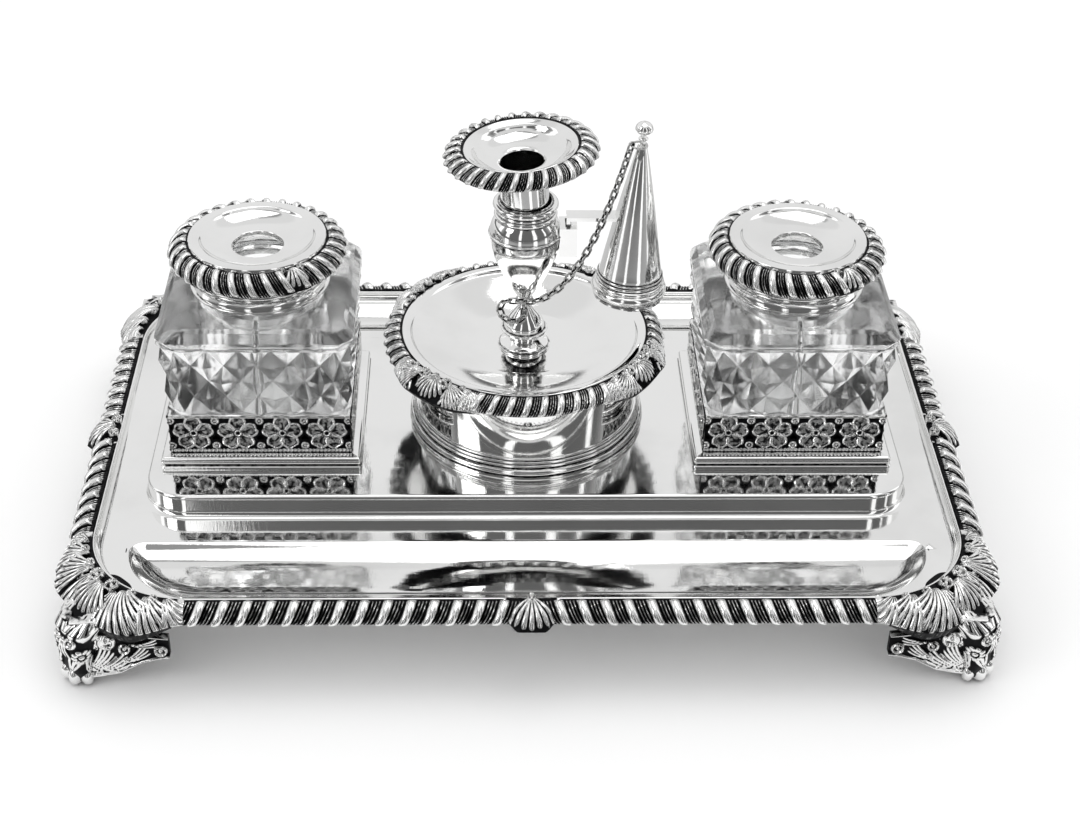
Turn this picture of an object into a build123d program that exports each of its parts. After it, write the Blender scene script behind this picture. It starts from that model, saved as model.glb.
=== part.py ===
"""Desk inkstand: a footed tray with two cut glass inkwells and a taper stick on a wafer drum.

Millimetres.  Origin: centre of the tray on the table.  +X right, +Y to the back, +Z up.
Every piece is written to parts/NAME.step where it lies when the inkstand is at rest.
"""
from build123d import *
import math
import os

# ------------------------------------------------------------------ driving dimensions
# Tray, pressed from one sheet
tray_length = 258.6          # between the inner edges of the rim, left to right
tray_depth = 166.4           # between the inner edges of the rim, front to back
tray_corner = 30.0           # plan radius of the rim's inner edge
sheet = 1.2                  # thickness of the sheet
rim_height = 29.0            # top of the rim above the table
rim_wall = 0.9               # width of the bright upright rim
flange_drop = 3.2            # the border's seat, below the top of the rim
ledge_drop = 3.6             # ledge beside the platform, below the top of the rim
ledge_cove = 3.0
platform_end = 12.3          # from the rim to each end of the platform
platform_rise = 3.6          # top of the platform above the top of the rim
platform_corner = 13.0
platform_edge = 1.0          # rounding of the platform's top edge
trough_end = 9.3             # from the rim to each end of a trough
front_trough_width = 29.2
back_trough_width = 20.9
trough_drop = 7.0            # bottom of the pen trough, below the top of the rim
trough_cove = 6.4
trough_corner = 10.0
trough_margin = 1.3          # land between a trough and the rim
trough_land = 12.0           # land between a trough and the platform

# Cast border round the tray
border_width = 6.8
border_height = 4.4
border_pitch = 6.9           # one lobe and one hollow
lobe_gap = 1.3               # width of the hollow between two lobes
lobe_depth = 1.2
lobe_share = 0.6             # height of the lobes, as a share of the border's height
shell_width = 15.0           # shell in the middle of each side
shell_reach = 3.6            # how far that shell stands outside the border
shell_flutes = 7
corner_fan_reach = 24.0      # shell on each corner, from its root to its tips
corner_fan_flutes = 9
corner_fan_spread = 150.0
corner_fan_height = 5.4
corner_leaf_count = 5        # leaf blades along the corner's curve, each side of the fan
solder_gap = 0.05            # film of solder round a joint between curved faces

# Paw feet
foot_inset = 5.0             # centre of the paw, inside the tray's outer edge
paw_radius = 6.2
toe_radius = 2.6
toe_count = 4
toe_spread = 34.0            # degrees between toes
ankle_radius = 4.2
knee_radius = 7.0
wing_length = 27.0           # leaf that runs inward under the tray's edge from the paw
wing_thickness = 3.0
wing_end_low = 9.0           # heights of the leaf's inner end above the table
wing_end_high = 17.4
wing_scroll = 1.8

# Galleries that hold the inkwells
gallery_margin = 3.7         # from the end of the platform to the base moulding
fittings_shift = 0.75        # line of the wells and the drum, behind the platform's middle
gallery_width = 62.0         # across the base moulding
gallery_step = 1.5
gallery_base_rise = 3.9
band_width = 56.0            # across the flowered band
band_wall = 0.9
band_rise = 13.5
flowers_per_side = 4
flower_pitch = 13.6
petal_radius = 2.3
petal_count = 5
petal_ring = 3.0
flower_relief = 0.5
bead_rise = 1.2              # plain strips along the top and bottom of the band

# Glass inkwells
well_clearance = 0.3         # between the foot of the glass and the band, each side
waist_gap = 0.4              # between the top of the band and the glass above it
waist_width = 56.4           # glass just above the band
shoulder_width = 59.6        # widest part of the glass
body_rise = 24.3             # cut part, from the waist to the shoulder groove
bevel_rise = 5.4
bevel_width = 55.0
crown_rise = 1.6
crown_width = 47.0
glass_corner = 6.5           # flat across each corner of the glass
diamond_width = 10.3
diamond_height = 11.6
diamond_depth = 2.2
groove_depth = 0.9           # line round the glass at the shoulder
ink_radius = 19.0
ink_floor = 9.0              # thickness of the glass below the ink
ink_roof = 6.0               # thickness of the glass above the ink
well_neck_radius = 17.0
well_neck_rise = 4.4
well_mouth_radius = 12.0

# Silver mount and drip dish of an inkwell
collar_rise = 9.4
collar_radius = 21.0
collar_reeds = 3
reed_radius = 0.8
collar_fit = 0.1             # cement film between the collar and the glass neck
spigot_fit = 0.3             # radial clearance of the dish's spigot in the collar
spigot_wall = 0.8
spigot_drop = 4.4
dish_radius = 20.9           # bright edge of the dish
dish_rise = 6.6              # bright edge above the collar
dish_depth = 3.4
dish_wall = 0.9
dish_hole_radius = 7.8
dish_border_radius = 26.5
dish_border_rise = 5.6
dish_lobes = 30

# Wafer drum
drum_radius = 34.6
drum_wall = 1.2
drum_rise = 29.4
drum_moulding_radius = 37.0
drum_moulding_rise = 6.0
drum_reeds = 3

# Taper stick that lids the drum
stick_x = -1.0               # axis of the stick: it sits a little left in the drum's mouth
bezel_fit = 1.3              # radial play of the stick's bezel in the drum
bezel_wall = 0.8
bezel_drop = 6.0
pan_floor_radius = 18.0
pan_depth = 6.0
pan_wall = 1.0
pan_flange = 2.6             # thickness of the flange that rests on the drum
pan_edge = 1.7               # flat bright edge of the pan
pan_radius = 38.0            # bright edge of the pan
pan_border_radius = 43.4
pan_border_rise = 4.2
pan_lobes = 48
pan_shell_width = 13.0
pan_shell_reach = 1.5        # how far those shells stand outside the pan's border
pan_shell_angles = (-133.0, -32.0, 50.0, 140.0)
stem_foot_radius = 8.0
stem_rise = 16.3             # pan floor to the thinnest part of the neck
neck_radius = 1.25
urn_rise = 35.7              # neck to the rim of the urn
urn_radius = 11.1
urn_mouth_radius = 9.3
socket_radius = 7.85
socket_depth = 8.6

# Removable nozzle
tube_radius = 7.4
tube_wall = 0.8
tube_engaged = 8.0           # length of tube inside the urn
tube_shown = 11.9            # length of tube between the urn and the dish
nozzle_tilt = 4.5            # degrees that the loose nozzle leans to the left
nozzle_dish_radius = 17.2
nozzle_dish_rise = 6.0
nozzle_dish_wall = 0.9
nozzle_border_radius = 22.6
nozzle_border_rise = 3.4
nozzle_lobes = 30
tube_seat_gap = 0.3

# Extinguisher, its hook and the bracket on the urn
cone_x = 31.0                # centre of the cone's mouth
cone_mouth_z = 77.0
cone_lean = 2.6              # degrees that the cone leans to the right
cone_foot_radius = 11.4
cone_foot_rise = 9.0
cone_foot_reeds = 3
cone_radius = 9.7
cone_tip_radius = 1.3
cone_rise = 42.0
cone_wall = 0.8
finial_radius = 2.5
finial_neck_radius = 0.85
finial_neck_rise = 4.2
bracket_length = 5.4         # along X
bracket_width = 8.0          # along Y
bracket_rise = 9.6
bracket_base_rise = 17.6     # bottom of the bracket above the stem's neck
bracket_start = 10.2         # inner face of the bracket, from the urn's axis
hook_thickness = 1.2
hook_width = 5.0
hook_leg = 8.0
hook_clearance = 0.3         # round the hook's leg in the bracket's slot
hook_lift = 1.8              # underside of the tongue above the bracket

# Chain from the stem's neck to the top of the cone
chain_wire = 0.7
chain_link = 4.1             # outside length of a link
chain_link_width = 2.6
chain_play = 0.1             # between one link and the next
eye_play = 0.3               # between the last link and the ring that moves with the cone
chain_ring_radius = 2.4      # loose ring round the stem's neck, to the middle of its wire
chain_eye_radius = 2.3       # loose ring below the cone's finial, to the middle of its wire
eye_gap = 0.1                # between that ring and the cone's tip or the finial's neck
chain_ring_rise = 0.4        # that ring above the thinnest part of the neck
chain_fall_steps = 12        # points along the hanging part
# Loose bight round the left of the stem, from the thinnest part of the neck
chain_bight = ((1.2, -5.6, 2.6), (-3.4, -4.6, 2.2), (-6.4, -2.8, 0.6), (-7.6, -3.4, -1.6),
               (-6.4, -5.6, -3.2), (-3.4, -7.0, -3.6), (-0.6, -6.4, -2.6))

# ------------------------------------------------------------------ sizes that follow
flange_height = rim_height - flange_drop
ledge_height = rim_height - ledge_drop
trough_height = rim_height - trough_drop
platform_height = rim_height + platform_rise
platform_length = tray_length - 2 * platform_end
platform_front = tray_depth / 2 - trough_margin - front_trough_width - trough_land
platform_back = tray_depth / 2 - trough_margin - back_trough_width - trough_land
trough_length = tray_length - 2 * trough_end
well_spread = platform_length / 2 - gallery_margin - gallery_width / 2
fittings_y = (platform_back - platform_front) / 2 + fittings_shift
border_inner = rim_wall + solder_gap
outer_x = tray_length / 2 + border_inner + border_width
outer_y = tray_depth / 2 + border_inner + border_width
corner_x = tray_length / 2 - tray_corner
corner_y = tray_depth / 2 - tray_corner
gallery_top = platform_height + gallery_base_rise
band_top = gallery_top + band_rise
band_bore = band_width - 2 * band_wall
waist_height = band_top + waist_gap
groove_height = waist_height + body_rise
crown_height = groove_height + bevel_rise + crown_rise
collar_top = crown_height + collar_rise
collar_bore = well_neck_radius + collar_fit
dish_top = collar_top + dish_rise
drum_top = platform_height + drum_rise
pan_rim_height = drum_top + pan_flange
pan_floor_height = pan_rim_height - pan_depth
neck_height = pan_floor_height + stem_rise
urn_top = neck_height + urn_rise
socket_floor = urn_top - socket_depth
bracket_base = neck_height + bracket_base_rise
bracket_top = bracket_base + bracket_rise
bracket_middle = stick_x + bracket_start + bracket_length / 2
foot_top = flange_height - sheet
bezel_bore = drum_radius - drum_wall - bezel_fit - bezel_wall
chain_pitch = chain_link - 2 * chain_wire - chain_play
ring_grip = (chain_link - chain_wire) / 2 - chain_wire - chain_play
eye_grip = ring_grip + chain_play - eye_play
stick = Pos(stick_x, fittings_y, 0)


# ------------------------------------------------------------------ shared shapes
def save(name, shape):
    """Write one piece."""
    os.makedirs("parts", exist_ok=True)
    export_step(shape, f"parts/{name}.step")


def turned(corners):
    """Solid of revolution about Z from (radius, height) corners."""
    outline = Polyline(*[(r, 0, z) for r, z in corners], close=True)
    return revolve(make_face(outline), Axis.Z)


def turned_curve(curve, closing):
    """Solid of revolution whose outline is a smooth curve closed by straight lines.

    Both lists hold (radius, height); closing starts at the curve's end and stops at its start.
    """
    smooth = Spline(*[(r, 0, z) for r, z in curve])
    straight = Polyline(*[(r, 0, z) for r, z in closing])
    return revolve(make_face([smooth, straight]), Axis.Z)


def rounded_prism(length, depth, corner, low, high, x=0.0, y=0.0):
    """Upright prism with rounded corners in plan."""
    plan = Pos(x, y, low) * RectangleRounded(length, depth, corner)
    return extrude(plan, high - low)


def rounded_pocket(length, depth, corner, cove, low, high, x=0.0, y=0.0):
    """Rounded prism whose bottom edge is coved."""
    block = rounded_prism(length, depth, corner, low, high, x, y)
    return fillet(block.faces().sort_by(Axis.Z)[0].edges(), cove)


def reeded_ring(radius, bore, low, high, reeds):
    """Ring with equal half-round reeds on its outside."""
    pitch = (high - low) / reeds
    valley = radius - pitch / 2
    outline = [Polyline((valley, 0, high), (bore, 0, high), (bore, 0, low), (valley, 0, low))]
    for i in range(reeds):
        z = low + pitch * i
        outline.append(ThreePointArc((valley, 0, z), (radius, 0, z + pitch / 2), (valley, 0, z + pitch)))
    return revolve(make_face(outline), Axis.Z)


def crest(inner, outer, low, high):
    """Section of the plain upper part of a cast border, chamfered towards its outer edge."""
    fall = (high - low) * 0.5
    return Polyline((inner, 0, low), (outer, 0, low), (outer, 0, high - fall),
                    (outer - fall, 0, high), (inner, 0, high), close=True)


def border_run(length):
    """Straight run of lobed border along +Y from the origin; its inner edge lies on X = 0."""
    lobes = round(length / border_pitch)
    pitch = length / lobes
    valley = border_width - lobe_depth
    plan = Pos(valley / 2, length / 2) * Rectangle(valley, length)
    lobe = Ellipse(lobe_depth, (pitch - lobe_gap) / 2)
    plan += [Pos(valley, pitch * (i + 0.5)) * lobe for i in range(lobes)]
    low = border_height * lobe_share
    upper = extrude(make_face(crest(0, valley, low, border_height)), -length)
    return extrude(plan, low) + upper


def border_ring(inner, outer, low, rise, lobes):
    """Ring of lobes under a plain chamfered crest, flat below."""
    valley = outer - lobe_depth
    pitch = 2 * math.pi * valley / lobes
    plan = Circle(valley)
    lobe = Pos(valley, 0) * Circle(min(lobe_depth, pitch * 0.45))
    plan += [Rot(0, 0, 360 * i / lobes) * lobe for i in range(lobes)]
    step = low + rise * lobe_share
    upper = revolve(make_face(crest(inner, valley, step, low + rise)), Axis.Z)
    return Pos(0, 0, low) * extrude(plan - Circle(inner), rise * lobe_share) + upper


def shell_fan(reach, spread, flutes, height):
    """Fluted scallop shell opening towards +X from the origin, on Z = 0."""
    step = spread / flutes
    tip = reach * math.sin(math.radians(step / 2)) / (1 + math.sin(math.radians(step / 2)))
    centre = reach - tip
    angles = [-spread / 2 + step * (i + 0.5) for i in range(flutes)]
    fan = [(0, 0)]
    for angle in (-spread / 2, *angles, spread / 2):
        a = math.radians(angle)
        fan.append((centre * math.cos(a), centre * math.sin(a)))
    outline = make_face(Polyline(*fan, close=True))
    for angle in angles:
        outline += Rot(0, 0, angle) * Pos(centre, 0) * Circle(tip)
    body = extrude(outline, height)
    cuts = []
    for i in range(1, flutes):
        angle = -spread / 2 + step * i
        vee = make_face(Polyline((0, 0), (tip * 0.5, height), (-tip * 0.5, height), close=True))
        bar = extrude(Plane.YZ * vee, reach)
        cuts.append(Rot(0, 0, angle) * Pos(reach * 0.3, 0, height * 0.45) * bar)
    return body - cuts


def mirrored_x(shape):
    return mirror(shape, Plane.YZ)


def mirrored_y(shape):
    return mirror(shape, Plane.XZ)


# ------------------------------------------------------------------ tray
def tray_form(inset):
    """Solid below the tray's upper face, or below its under face when inset is the sheet."""
    low = trough_height - 3 * sheet - inset
    grow = 2 * inset
    wall = rim_wall if inset else 0.0
    flange = 2 * (rim_wall + border_width * 0.85) + (2 * sheet if inset else 0)
    form = rounded_prism(tray_length + flange, tray_depth + flange, tray_corner + flange / 2,
                         low, flange_height - inset)
    if not inset:
        form += rounded_prism(tray_length + 2 * rim_wall, tray_depth + 2 * rim_wall,
                              tray_corner + rim_wall, low, rim_height)
    form -= rounded_pocket(tray_length + 2 * wall, tray_depth + 2 * wall, tray_corner + wall,
                           ledge_cove + inset, ledge_height - inset, rim_height + platform_rise)
    rim_y = tray_depth / 2 - trough_margin
    for edge, side in ((platform_front, -1), (platform_back, 1)):
        riser_y = edge + trough_land
        form -= rounded_pocket(trough_length + grow, rim_y - riser_y + grow, trough_corner + inset,
                               trough_cove + inset, trough_height - inset, rim_height + platform_rise,
                               y=side * (rim_y + riser_y) / 2)
    middle = (platform_back - platform_front) / 2
    block = rounded_prism(platform_length - grow, platform_front + platform_back - grow,
                          platform_corner - inset, low, platform_height - inset, y=middle)
    return form + fillet(block.faces().sort_by(Axis.Z)[-1].edges(), platform_edge)


def make_tray():
    save("tray_body", tray_form(0) - tray_form(sheet))


# ------------------------------------------------------------------ border, shells and feet
def side_shell():
    """Small shell on the border, rooted on the rim and opening outwards along +X."""
    reach = border_width + shell_reach
    spread = 2 * math.degrees(math.asin(min(0.95, shell_width / 2 / reach)))
    return shell_fan(reach, spread, shell_flutes, border_height * 1.1)


def corner_piece():
    """Shell with leaves round the front right corner, placed on the tray."""
    centre = Pos(corner_x, -corner_y, flange_height)
    inner = tray_corner + border_inner
    band = Circle(inner + border_width) - Circle(inner)
    quarter = Pos(inner, -inner) * Rectangle(2 * inner, 2 * inner)
    arc = extrude(band & quarter, border_height)
    leaves = []
    count = 2 * corner_leaf_count
    for i in range(count + 1):
        angle = -90 * i / count
        lean = 40 if i > corner_leaf_count else -40
        slab = Box(2 * border_width, lobe_gap, border_height)
        leaves.append(Rot(0, 0, angle) * Pos(inner + border_width / 2, 0, border_height)
                      * Rot(0, 0, lean) * slab)
    arc -= leaves
    fan = shell_fan(corner_fan_reach, corner_fan_spread, corner_fan_flutes, corner_fan_height)
    root = tray_corner + border_inner + border_width + shell_reach * 1.35 - corner_fan_reach
    fan = Rot(0, 0, -45) * Pos(root, 0, 0) * fan
    clear = extrude(Circle(inner), 2 * corner_fan_height)
    return centre * (arc + (fan - clear))


def make_border():
    shell_half = shell_width / 2 + solder_gap
    shell = side_shell()
    for name, centre, half, turn in (("front", tray_depth / 2, corner_x, -90),
                                     ("back", tray_depth / 2, corner_x, 90),
                                     ("right", tray_length / 2, corner_y, 0),
                                     ("left", tray_length / 2, corner_y, 180)):
        place = Rot(0, 0, turn) * Pos(centre + border_inner, 0, flange_height)
        away = Pos(0, shell_half, 0) * border_run(half - shell_half)
        save(f"border_{name}", Compound([place * away, place * mirrored_y(away)]))
        save(f"shell_{name}", place * shell)


def wing():
    """Leaf of a foot, running along +X from the paw's centre; heights are above the table."""
    low = Spline((0, 0, paw_radius * 0.4), (wing_length * 0.55, 0, wing_end_low * 0.45),
                 (wing_length, 0, wing_end_low))
    high = Spline((wing_length, 0, wing_end_high), (wing_length * 0.6, 0, wing_end_high + 1.6),
                  (wing_length * 0.3, 0, foot_top))
    rest = Polyline((wing_length * 0.3, 0, foot_top), (0, 0, foot_top), (0, 0, paw_radius * 0.4))
    edge = Line((wing_length, 0, wing_end_low), (wing_length, 0, wing_end_high))
    leaf = extrude(make_face([low, edge, high, rest]), wing_thickness / 2, both=True)
    scroll = Pos(wing_length, 0, wing_end_low + wing_scroll) * Rot(90, 0, 0) * Cylinder(
        wing_scroll, wing_thickness * 1.3)
    return leaf + scroll


def foot():
    """Paw foot of the front right corner, placed under the tray."""
    shape = Pos(0, 0, paw_radius * 0.62) * Sphere(paw_radius)
    for i in range(toe_count):
        angle = -45 + toe_spread * (i - (toe_count - 1) / 2)
        toe = Pos(paw_radius - toe_radius * 0.4, 0, toe_radius * 0.75) * Sphere(toe_radius)
        shape += Rot(0, 0, angle) * toe
    shape -= Pos(0, 0, -paw_radius) * Box(6 * paw_radius, 6 * paw_radius, 2 * paw_radius)
    knee_shift = knee_radius * 0.8
    ankle = Pos(0, 0, paw_radius * 0.9) * Circle(ankle_radius)
    knee = Pos(-knee_shift, knee_shift, foot_top) * Circle(knee_radius)
    shape += loft([ankle, knee])
    shape += Rot(0, 0, 180) * wing()
    shape += Rot(0, 0, 90) * wing()
    return Pos(outer_x - foot_inset, foot_inset - outer_y, 0) * shape


def on_corners(name, front_right):
    """Write a piece of the front right corner on all four corners."""
    front_left = mirrored_x(front_right)
    save(f"{name}_front_right", front_right)
    save(f"{name}_front_left", front_left)
    save(f"{name}_back_right", mirrored_y(front_right))
    save(f"{name}_back_left", mirrored_y(front_left))


# ------------------------------------------------------------------ galleries
def gallery_base():
    lower = rounded_prism(gallery_width, gallery_width, 1.0, platform_height,
                          platform_height + gallery_base_rise / 2)
    narrow = gallery_width - 2 * gallery_step
    upper = rounded_prism(narrow, narrow, 1.0, platform_height + gallery_base_rise / 2, gallery_top)
    bore = extrude(Pos(0, 0, platform_height) * Rectangle(band_bore, band_bore), gallery_base_rise)
    return lower + upper - bore


def flower_row():
    """Relief of one side of the band, lying on Z = 0."""
    half = band_rise / 2
    relief = Pos(0, half - bead_rise / 2) * Rectangle(band_width, bead_rise)
    relief += Pos(0, -half + bead_rise / 2) * Rectangle(band_width, bead_rise)
    for i in range(flowers_per_side):
        x = flower_pitch * (i - (flowers_per_side - 1) / 2)
        relief += Pos(x, 0) * Circle(petal_ring - petal_radius + 0.9)
        for k in range(petal_count):
            angle = 90 + 360 * k / petal_count
            relief += Pos(x, 0) * Rot(0, 0, angle) * Pos(petal_ring, 0) * Circle(petal_radius)
    return extrude(relief, flower_relief)


def gallery_band():
    band = extrude(Pos(0, 0, gallery_top) * Rectangle(band_width, band_width), band_rise)
    row = flower_row()
    for side in range(4):
        face = Rot(0, 0, 90 * side) * Pos(0, -band_width / 2, gallery_top + band_rise / 2) * Rot(90, 0, 0)
        band += face * row
    bore = extrude(Pos(0, 0, gallery_top) * Rectangle(band_bore, band_bore), band_rise)
    return band - bore


# ------------------------------------------------------------------ glass inkwell
def cut_square(width, corner, height):
    """Square with flattened corners, as a face at the given height."""
    a = width / 2
    b = a - corner / math.sqrt(2)
    points = [(a, -b), (a, b), (b, a), (-b, a), (-a, b), (-a, -b), (-b, -a), (b, -a)]
    return Pos(0, 0, height) * make_face(Polyline(*points, close=True))


def glass_stage(width_low, width_high, low, high):
    return loft([cut_square(width_low, glass_corner, low), cut_square(width_high, glass_corner, high)],
                ruled=True)


def diamond_cuts():
    """Crossing grooves of one side of the well, on a plane that faces +Z with its centre at 0."""
    slope = math.atan2(diamond_height, diamond_width)
    spacing = diamond_width * math.sin(slope)
    window_width = shoulder_width - 2 * glass_corner
    window_height = body_rise - 2 * groove_depth
    run = 2 * (window_width + window_height)
    vee = make_face(Polyline((0, -diamond_depth), (spacing / 2, 0), (spacing / 2, 1), (-spacing / 2, 1),
                             (-spacing / 2, 0), close=True))
    bar = Pos(-run / 2, 0, 0) * extrude(Plane.YZ * vee, run)
    window = Box(window_width, window_height, 4 * diamond_depth)
    reach = (window_width * math.sin(slope) + window_height * math.cos(slope)) / 2
    count = int(reach / spacing)
    return [Rot(0, 0, way * math.degrees(slope)) * Pos(0, i * spacing, 0) * bar & window
            for i in range(-count, count + 1) for way in (1, -1)]


def glass_well():
    foot_width = band_bore - 2 * well_clearance
    well = glass_stage(foot_width, foot_width, platform_height, waist_height)
    well += glass_stage(waist_width, shoulder_width, waist_height, groove_height)
    bevel_top = groove_height + bevel_rise
    well += glass_stage(shoulder_width, bevel_width, groove_height, bevel_top)
    well += glass_stage(bevel_width, crown_width, bevel_top, crown_height)
    well += Pos(0, 0, crown_height) * extrude(Circle(well_neck_radius), well_neck_rise)
    flare = math.degrees(math.atan2((shoulder_width - waist_width) / 2, body_rise))
    middle = (waist_width + shoulder_width) / 4
    pattern = diamond_cuts()
    cuts = []
    for side in range(4):
        face = Rot(0, 0, 90 * side) * Pos(0, -middle, waist_height + body_rise / 2) * Rot(90 + flare, 0, 0)
        cuts += [face * cut for cut in pattern]
    line = extrude(Pos(0, 0, groove_height - groove_depth / 2) * Rectangle(80, 80), groove_depth)
    line -= glass_stage(shoulder_width - 2 * groove_depth, shoulder_width - 2 * groove_depth,
                        groove_height - groove_depth, groove_height + groove_depth)
    ink_low = platform_height + ink_floor
    ink_high = crown_height - ink_roof
    ink = Pos(0, 0, ink_low) * extrude(Circle(ink_radius), ink_high - ink_low)
    mouth = Pos(0, 0, ink_low) * extrude(Circle(well_mouth_radius), crown_height + well_neck_rise - ink_low)
    return well - cuts - line - ink - mouth


def neck_collar():
    ring = turned([(collar_bore, crown_height), (collar_radius, crown_height),
                   (collar_radius, collar_top), (collar_bore, collar_top)])
    low = crown_height + collar_rise * 0.3
    for i in range(collar_reeds):
        ring += Pos(0, 0, low + 2 * reed_radius * (i + 0.5)) * Torus(collar_radius, reed_radius)
    return ring


def ink_dish():
    """Dished drip tray with a spigot that drops into the collar."""
    spigot = collar_bore - spigot_fit
    hole_height = dish_top - dish_depth
    bowl = turned([(dish_hole_radius, hole_height), (dish_radius, dish_top),
                   (dish_radius, collar_top), (spigot - spigot_wall, collar_top),
                   (spigot - spigot_wall, hole_height - 2 * dish_wall),
                   (dish_hole_radius, hole_height - 2 * dish_wall)])
    skirt = turned([(spigot - spigot_wall, collar_top - spigot_drop), (spigot, collar_top - spigot_drop),
                    (spigot, collar_top), (spigot - spigot_wall, collar_top)])
    return bowl + skirt


def dish_border():
    return border_ring(dish_radius + solder_gap, dish_border_radius, collar_top, dish_border_rise, dish_lobes)


def make_wells():
    pieces = (("gallery_base", gallery_base()), ("gallery_band", gallery_band()),
              ("glass_well", glass_well()), ("neck_collar", neck_collar()),
              ("ink_dish", ink_dish()), ("dish_border", dish_border()))
    for side, x in (("left", -well_spread), ("right", well_spread)):
        for name, piece in pieces:
            save(f"{name}_{side}", Pos(x, fittings_y, 0) * piece)


# ------------------------------------------------------------------ drum
def make_drum():
    bore = drum_radius - drum_wall
    wall = turned([(bore, platform_height), (drum_radius, platform_height),
                   (drum_radius, drum_top), (bore, drum_top)])
    moulding = reeded_ring(drum_moulding_radius, drum_radius + solder_gap, platform_height,
                           platform_height + drum_moulding_rise, drum_reeds)
    save("drum_wall", Pos(0, fittings_y, 0) * wall)
    save("drum_moulding", Pos(0, fittings_y, 0) * moulding)


# ------------------------------------------------------------------ taper stick
def pan():
    """Dished pan with a flat flange that rests on the drum."""
    rim = pan_radius - pan_edge
    middle = (pan_floor_radius + bezel_bore) / 2
    rise = pan_depth * 0.2
    upper = Spline((pan_floor_radius, 0, pan_floor_height), (middle, 0, pan_floor_height + rise),
                   (bezel_bore, 0, drum_top + pan_wall), (rim, 0, pan_rim_height))
    lower = Spline((bezel_bore, 0, drum_top), (middle, 0, pan_floor_height + rise - pan_wall),
                   (pan_floor_radius, 0, pan_floor_height - pan_wall))
    edge = Polyline(upper @ 1, (pan_radius, 0, pan_rim_height), (pan_radius, 0, drum_top), lower @ 0)
    floor = Polyline(lower @ 1, (0, 0, pan_floor_height - pan_wall), (0, 0, pan_floor_height), upper @ 0)
    return revolve(make_face([upper, edge, lower, floor]), Axis.Z)


def bezel():
    """Ring under the pan that keeps it centred in the drum."""
    outer = bezel_bore + bezel_wall
    return turned([(bezel_bore, drum_top - bezel_drop), (outer, drum_top - bezel_drop),
                   (outer, drum_top), (bezel_bore, drum_top)])


def pan_shells():
    """Four shells set in gaps of the pan's border."""
    reach = pan_border_radius - pan_radius + pan_shell_reach
    spread = 2 * math.degrees(math.asin(min(0.95, pan_shell_width / 2 / reach)))
    shell = shell_fan(reach, spread, shell_flutes, pan_border_rise)
    return [Rot(0, 0, angle) * Pos(pan_radius + solder_gap, 0, pan_rim_height - pan_border_rise) * shell
            for angle in pan_shell_angles]


def pan_border():
    ring = border_ring(pan_radius + solder_gap, pan_border_radius,
                       pan_rim_height - pan_border_rise, pan_border_rise, pan_lobes)
    gap = Pos(pan_border_radius, 0, drum_top) * Box(4 * (pan_border_radius - pan_radius),
                                                    pan_shell_width + 2 * solder_gap, 6 * pan_border_rise)
    return ring - [Rot(0, 0, angle) * gap for angle in pan_shell_angles]


def stem():
    floor = pan_floor_height
    curve = [(stem_foot_radius - 0.4, floor + 3.0), (stem_foot_radius - 0.5, floor + 6.4),
             (stem_foot_radius - 1.6, floor + 9.6), (stem_foot_radius * 0.43, floor + stem_rise - 2.8),
             (neck_radius, floor + stem_rise)]
    closing = [(neck_radius, floor + stem_rise), (0, floor + stem_rise), (0, floor),
               (stem_foot_radius, floor), (stem_foot_radius, floor + 1.2), (stem_foot_radius - 0.4, floor + 3.0)]
    return turned_curve(curve, closing)


def urn_outside():
    """Outside of the urn, from the neck to the mouth."""
    low = neck_height
    share = urn_rise / 35.7
    curve = [(neck_radius, low), (neck_radius * 1.5, low + 1.8 * share), (urn_radius * 0.31, low + 3.6 * share),
             (urn_radius * 0.5, low + 6.5 * share), (urn_radius * 0.67, low + 10.9 * share),
             (urn_radius * 0.88, low + 17.3 * share), (urn_radius, low + 23.5 * share),
             (urn_radius * 0.9, low + 28.5 * share), (urn_mouth_radius - 0.6, low + 31.5 * share)]
    closing = [(urn_mouth_radius - 0.6, low + 31.5 * share), (urn_mouth_radius, low + 32.6 * share),
               (urn_mouth_radius, urn_top), (0, urn_top), (0, low), (neck_radius, low)]
    return turned_curve(curve, closing)


def urn():
    socket = Pos(0, 0, socket_floor) * extrude(Circle(socket_radius), socket_depth)
    return urn_outside() - socket


def bracket():
    """Box with an open slot for the extinguisher's hook."""
    block = Pos(bracket_start + bracket_length / 2, 0, bracket_base + bracket_rise / 2) * Box(
        bracket_length, bracket_width, bracket_rise)
    slot = Pos(bracket_start + bracket_length / 2, 0, bracket_base + bracket_rise / 2) * Box(
        hook_thickness + 2 * hook_clearance, hook_width + 2 * hook_clearance, bracket_rise)
    return block - slot - urn_outside()


def make_stick():
    save("pan", stick * pan())
    save("pan_border", stick * pan_border())
    save("pan_shells", Compound([stick * shell for shell in pan_shells()]))
    save("pan_bezel", stick * bezel())
    save("stem", stick * stem())
    save("urn", stick * urn())
    save("hook_bracket", stick * bracket())


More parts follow.
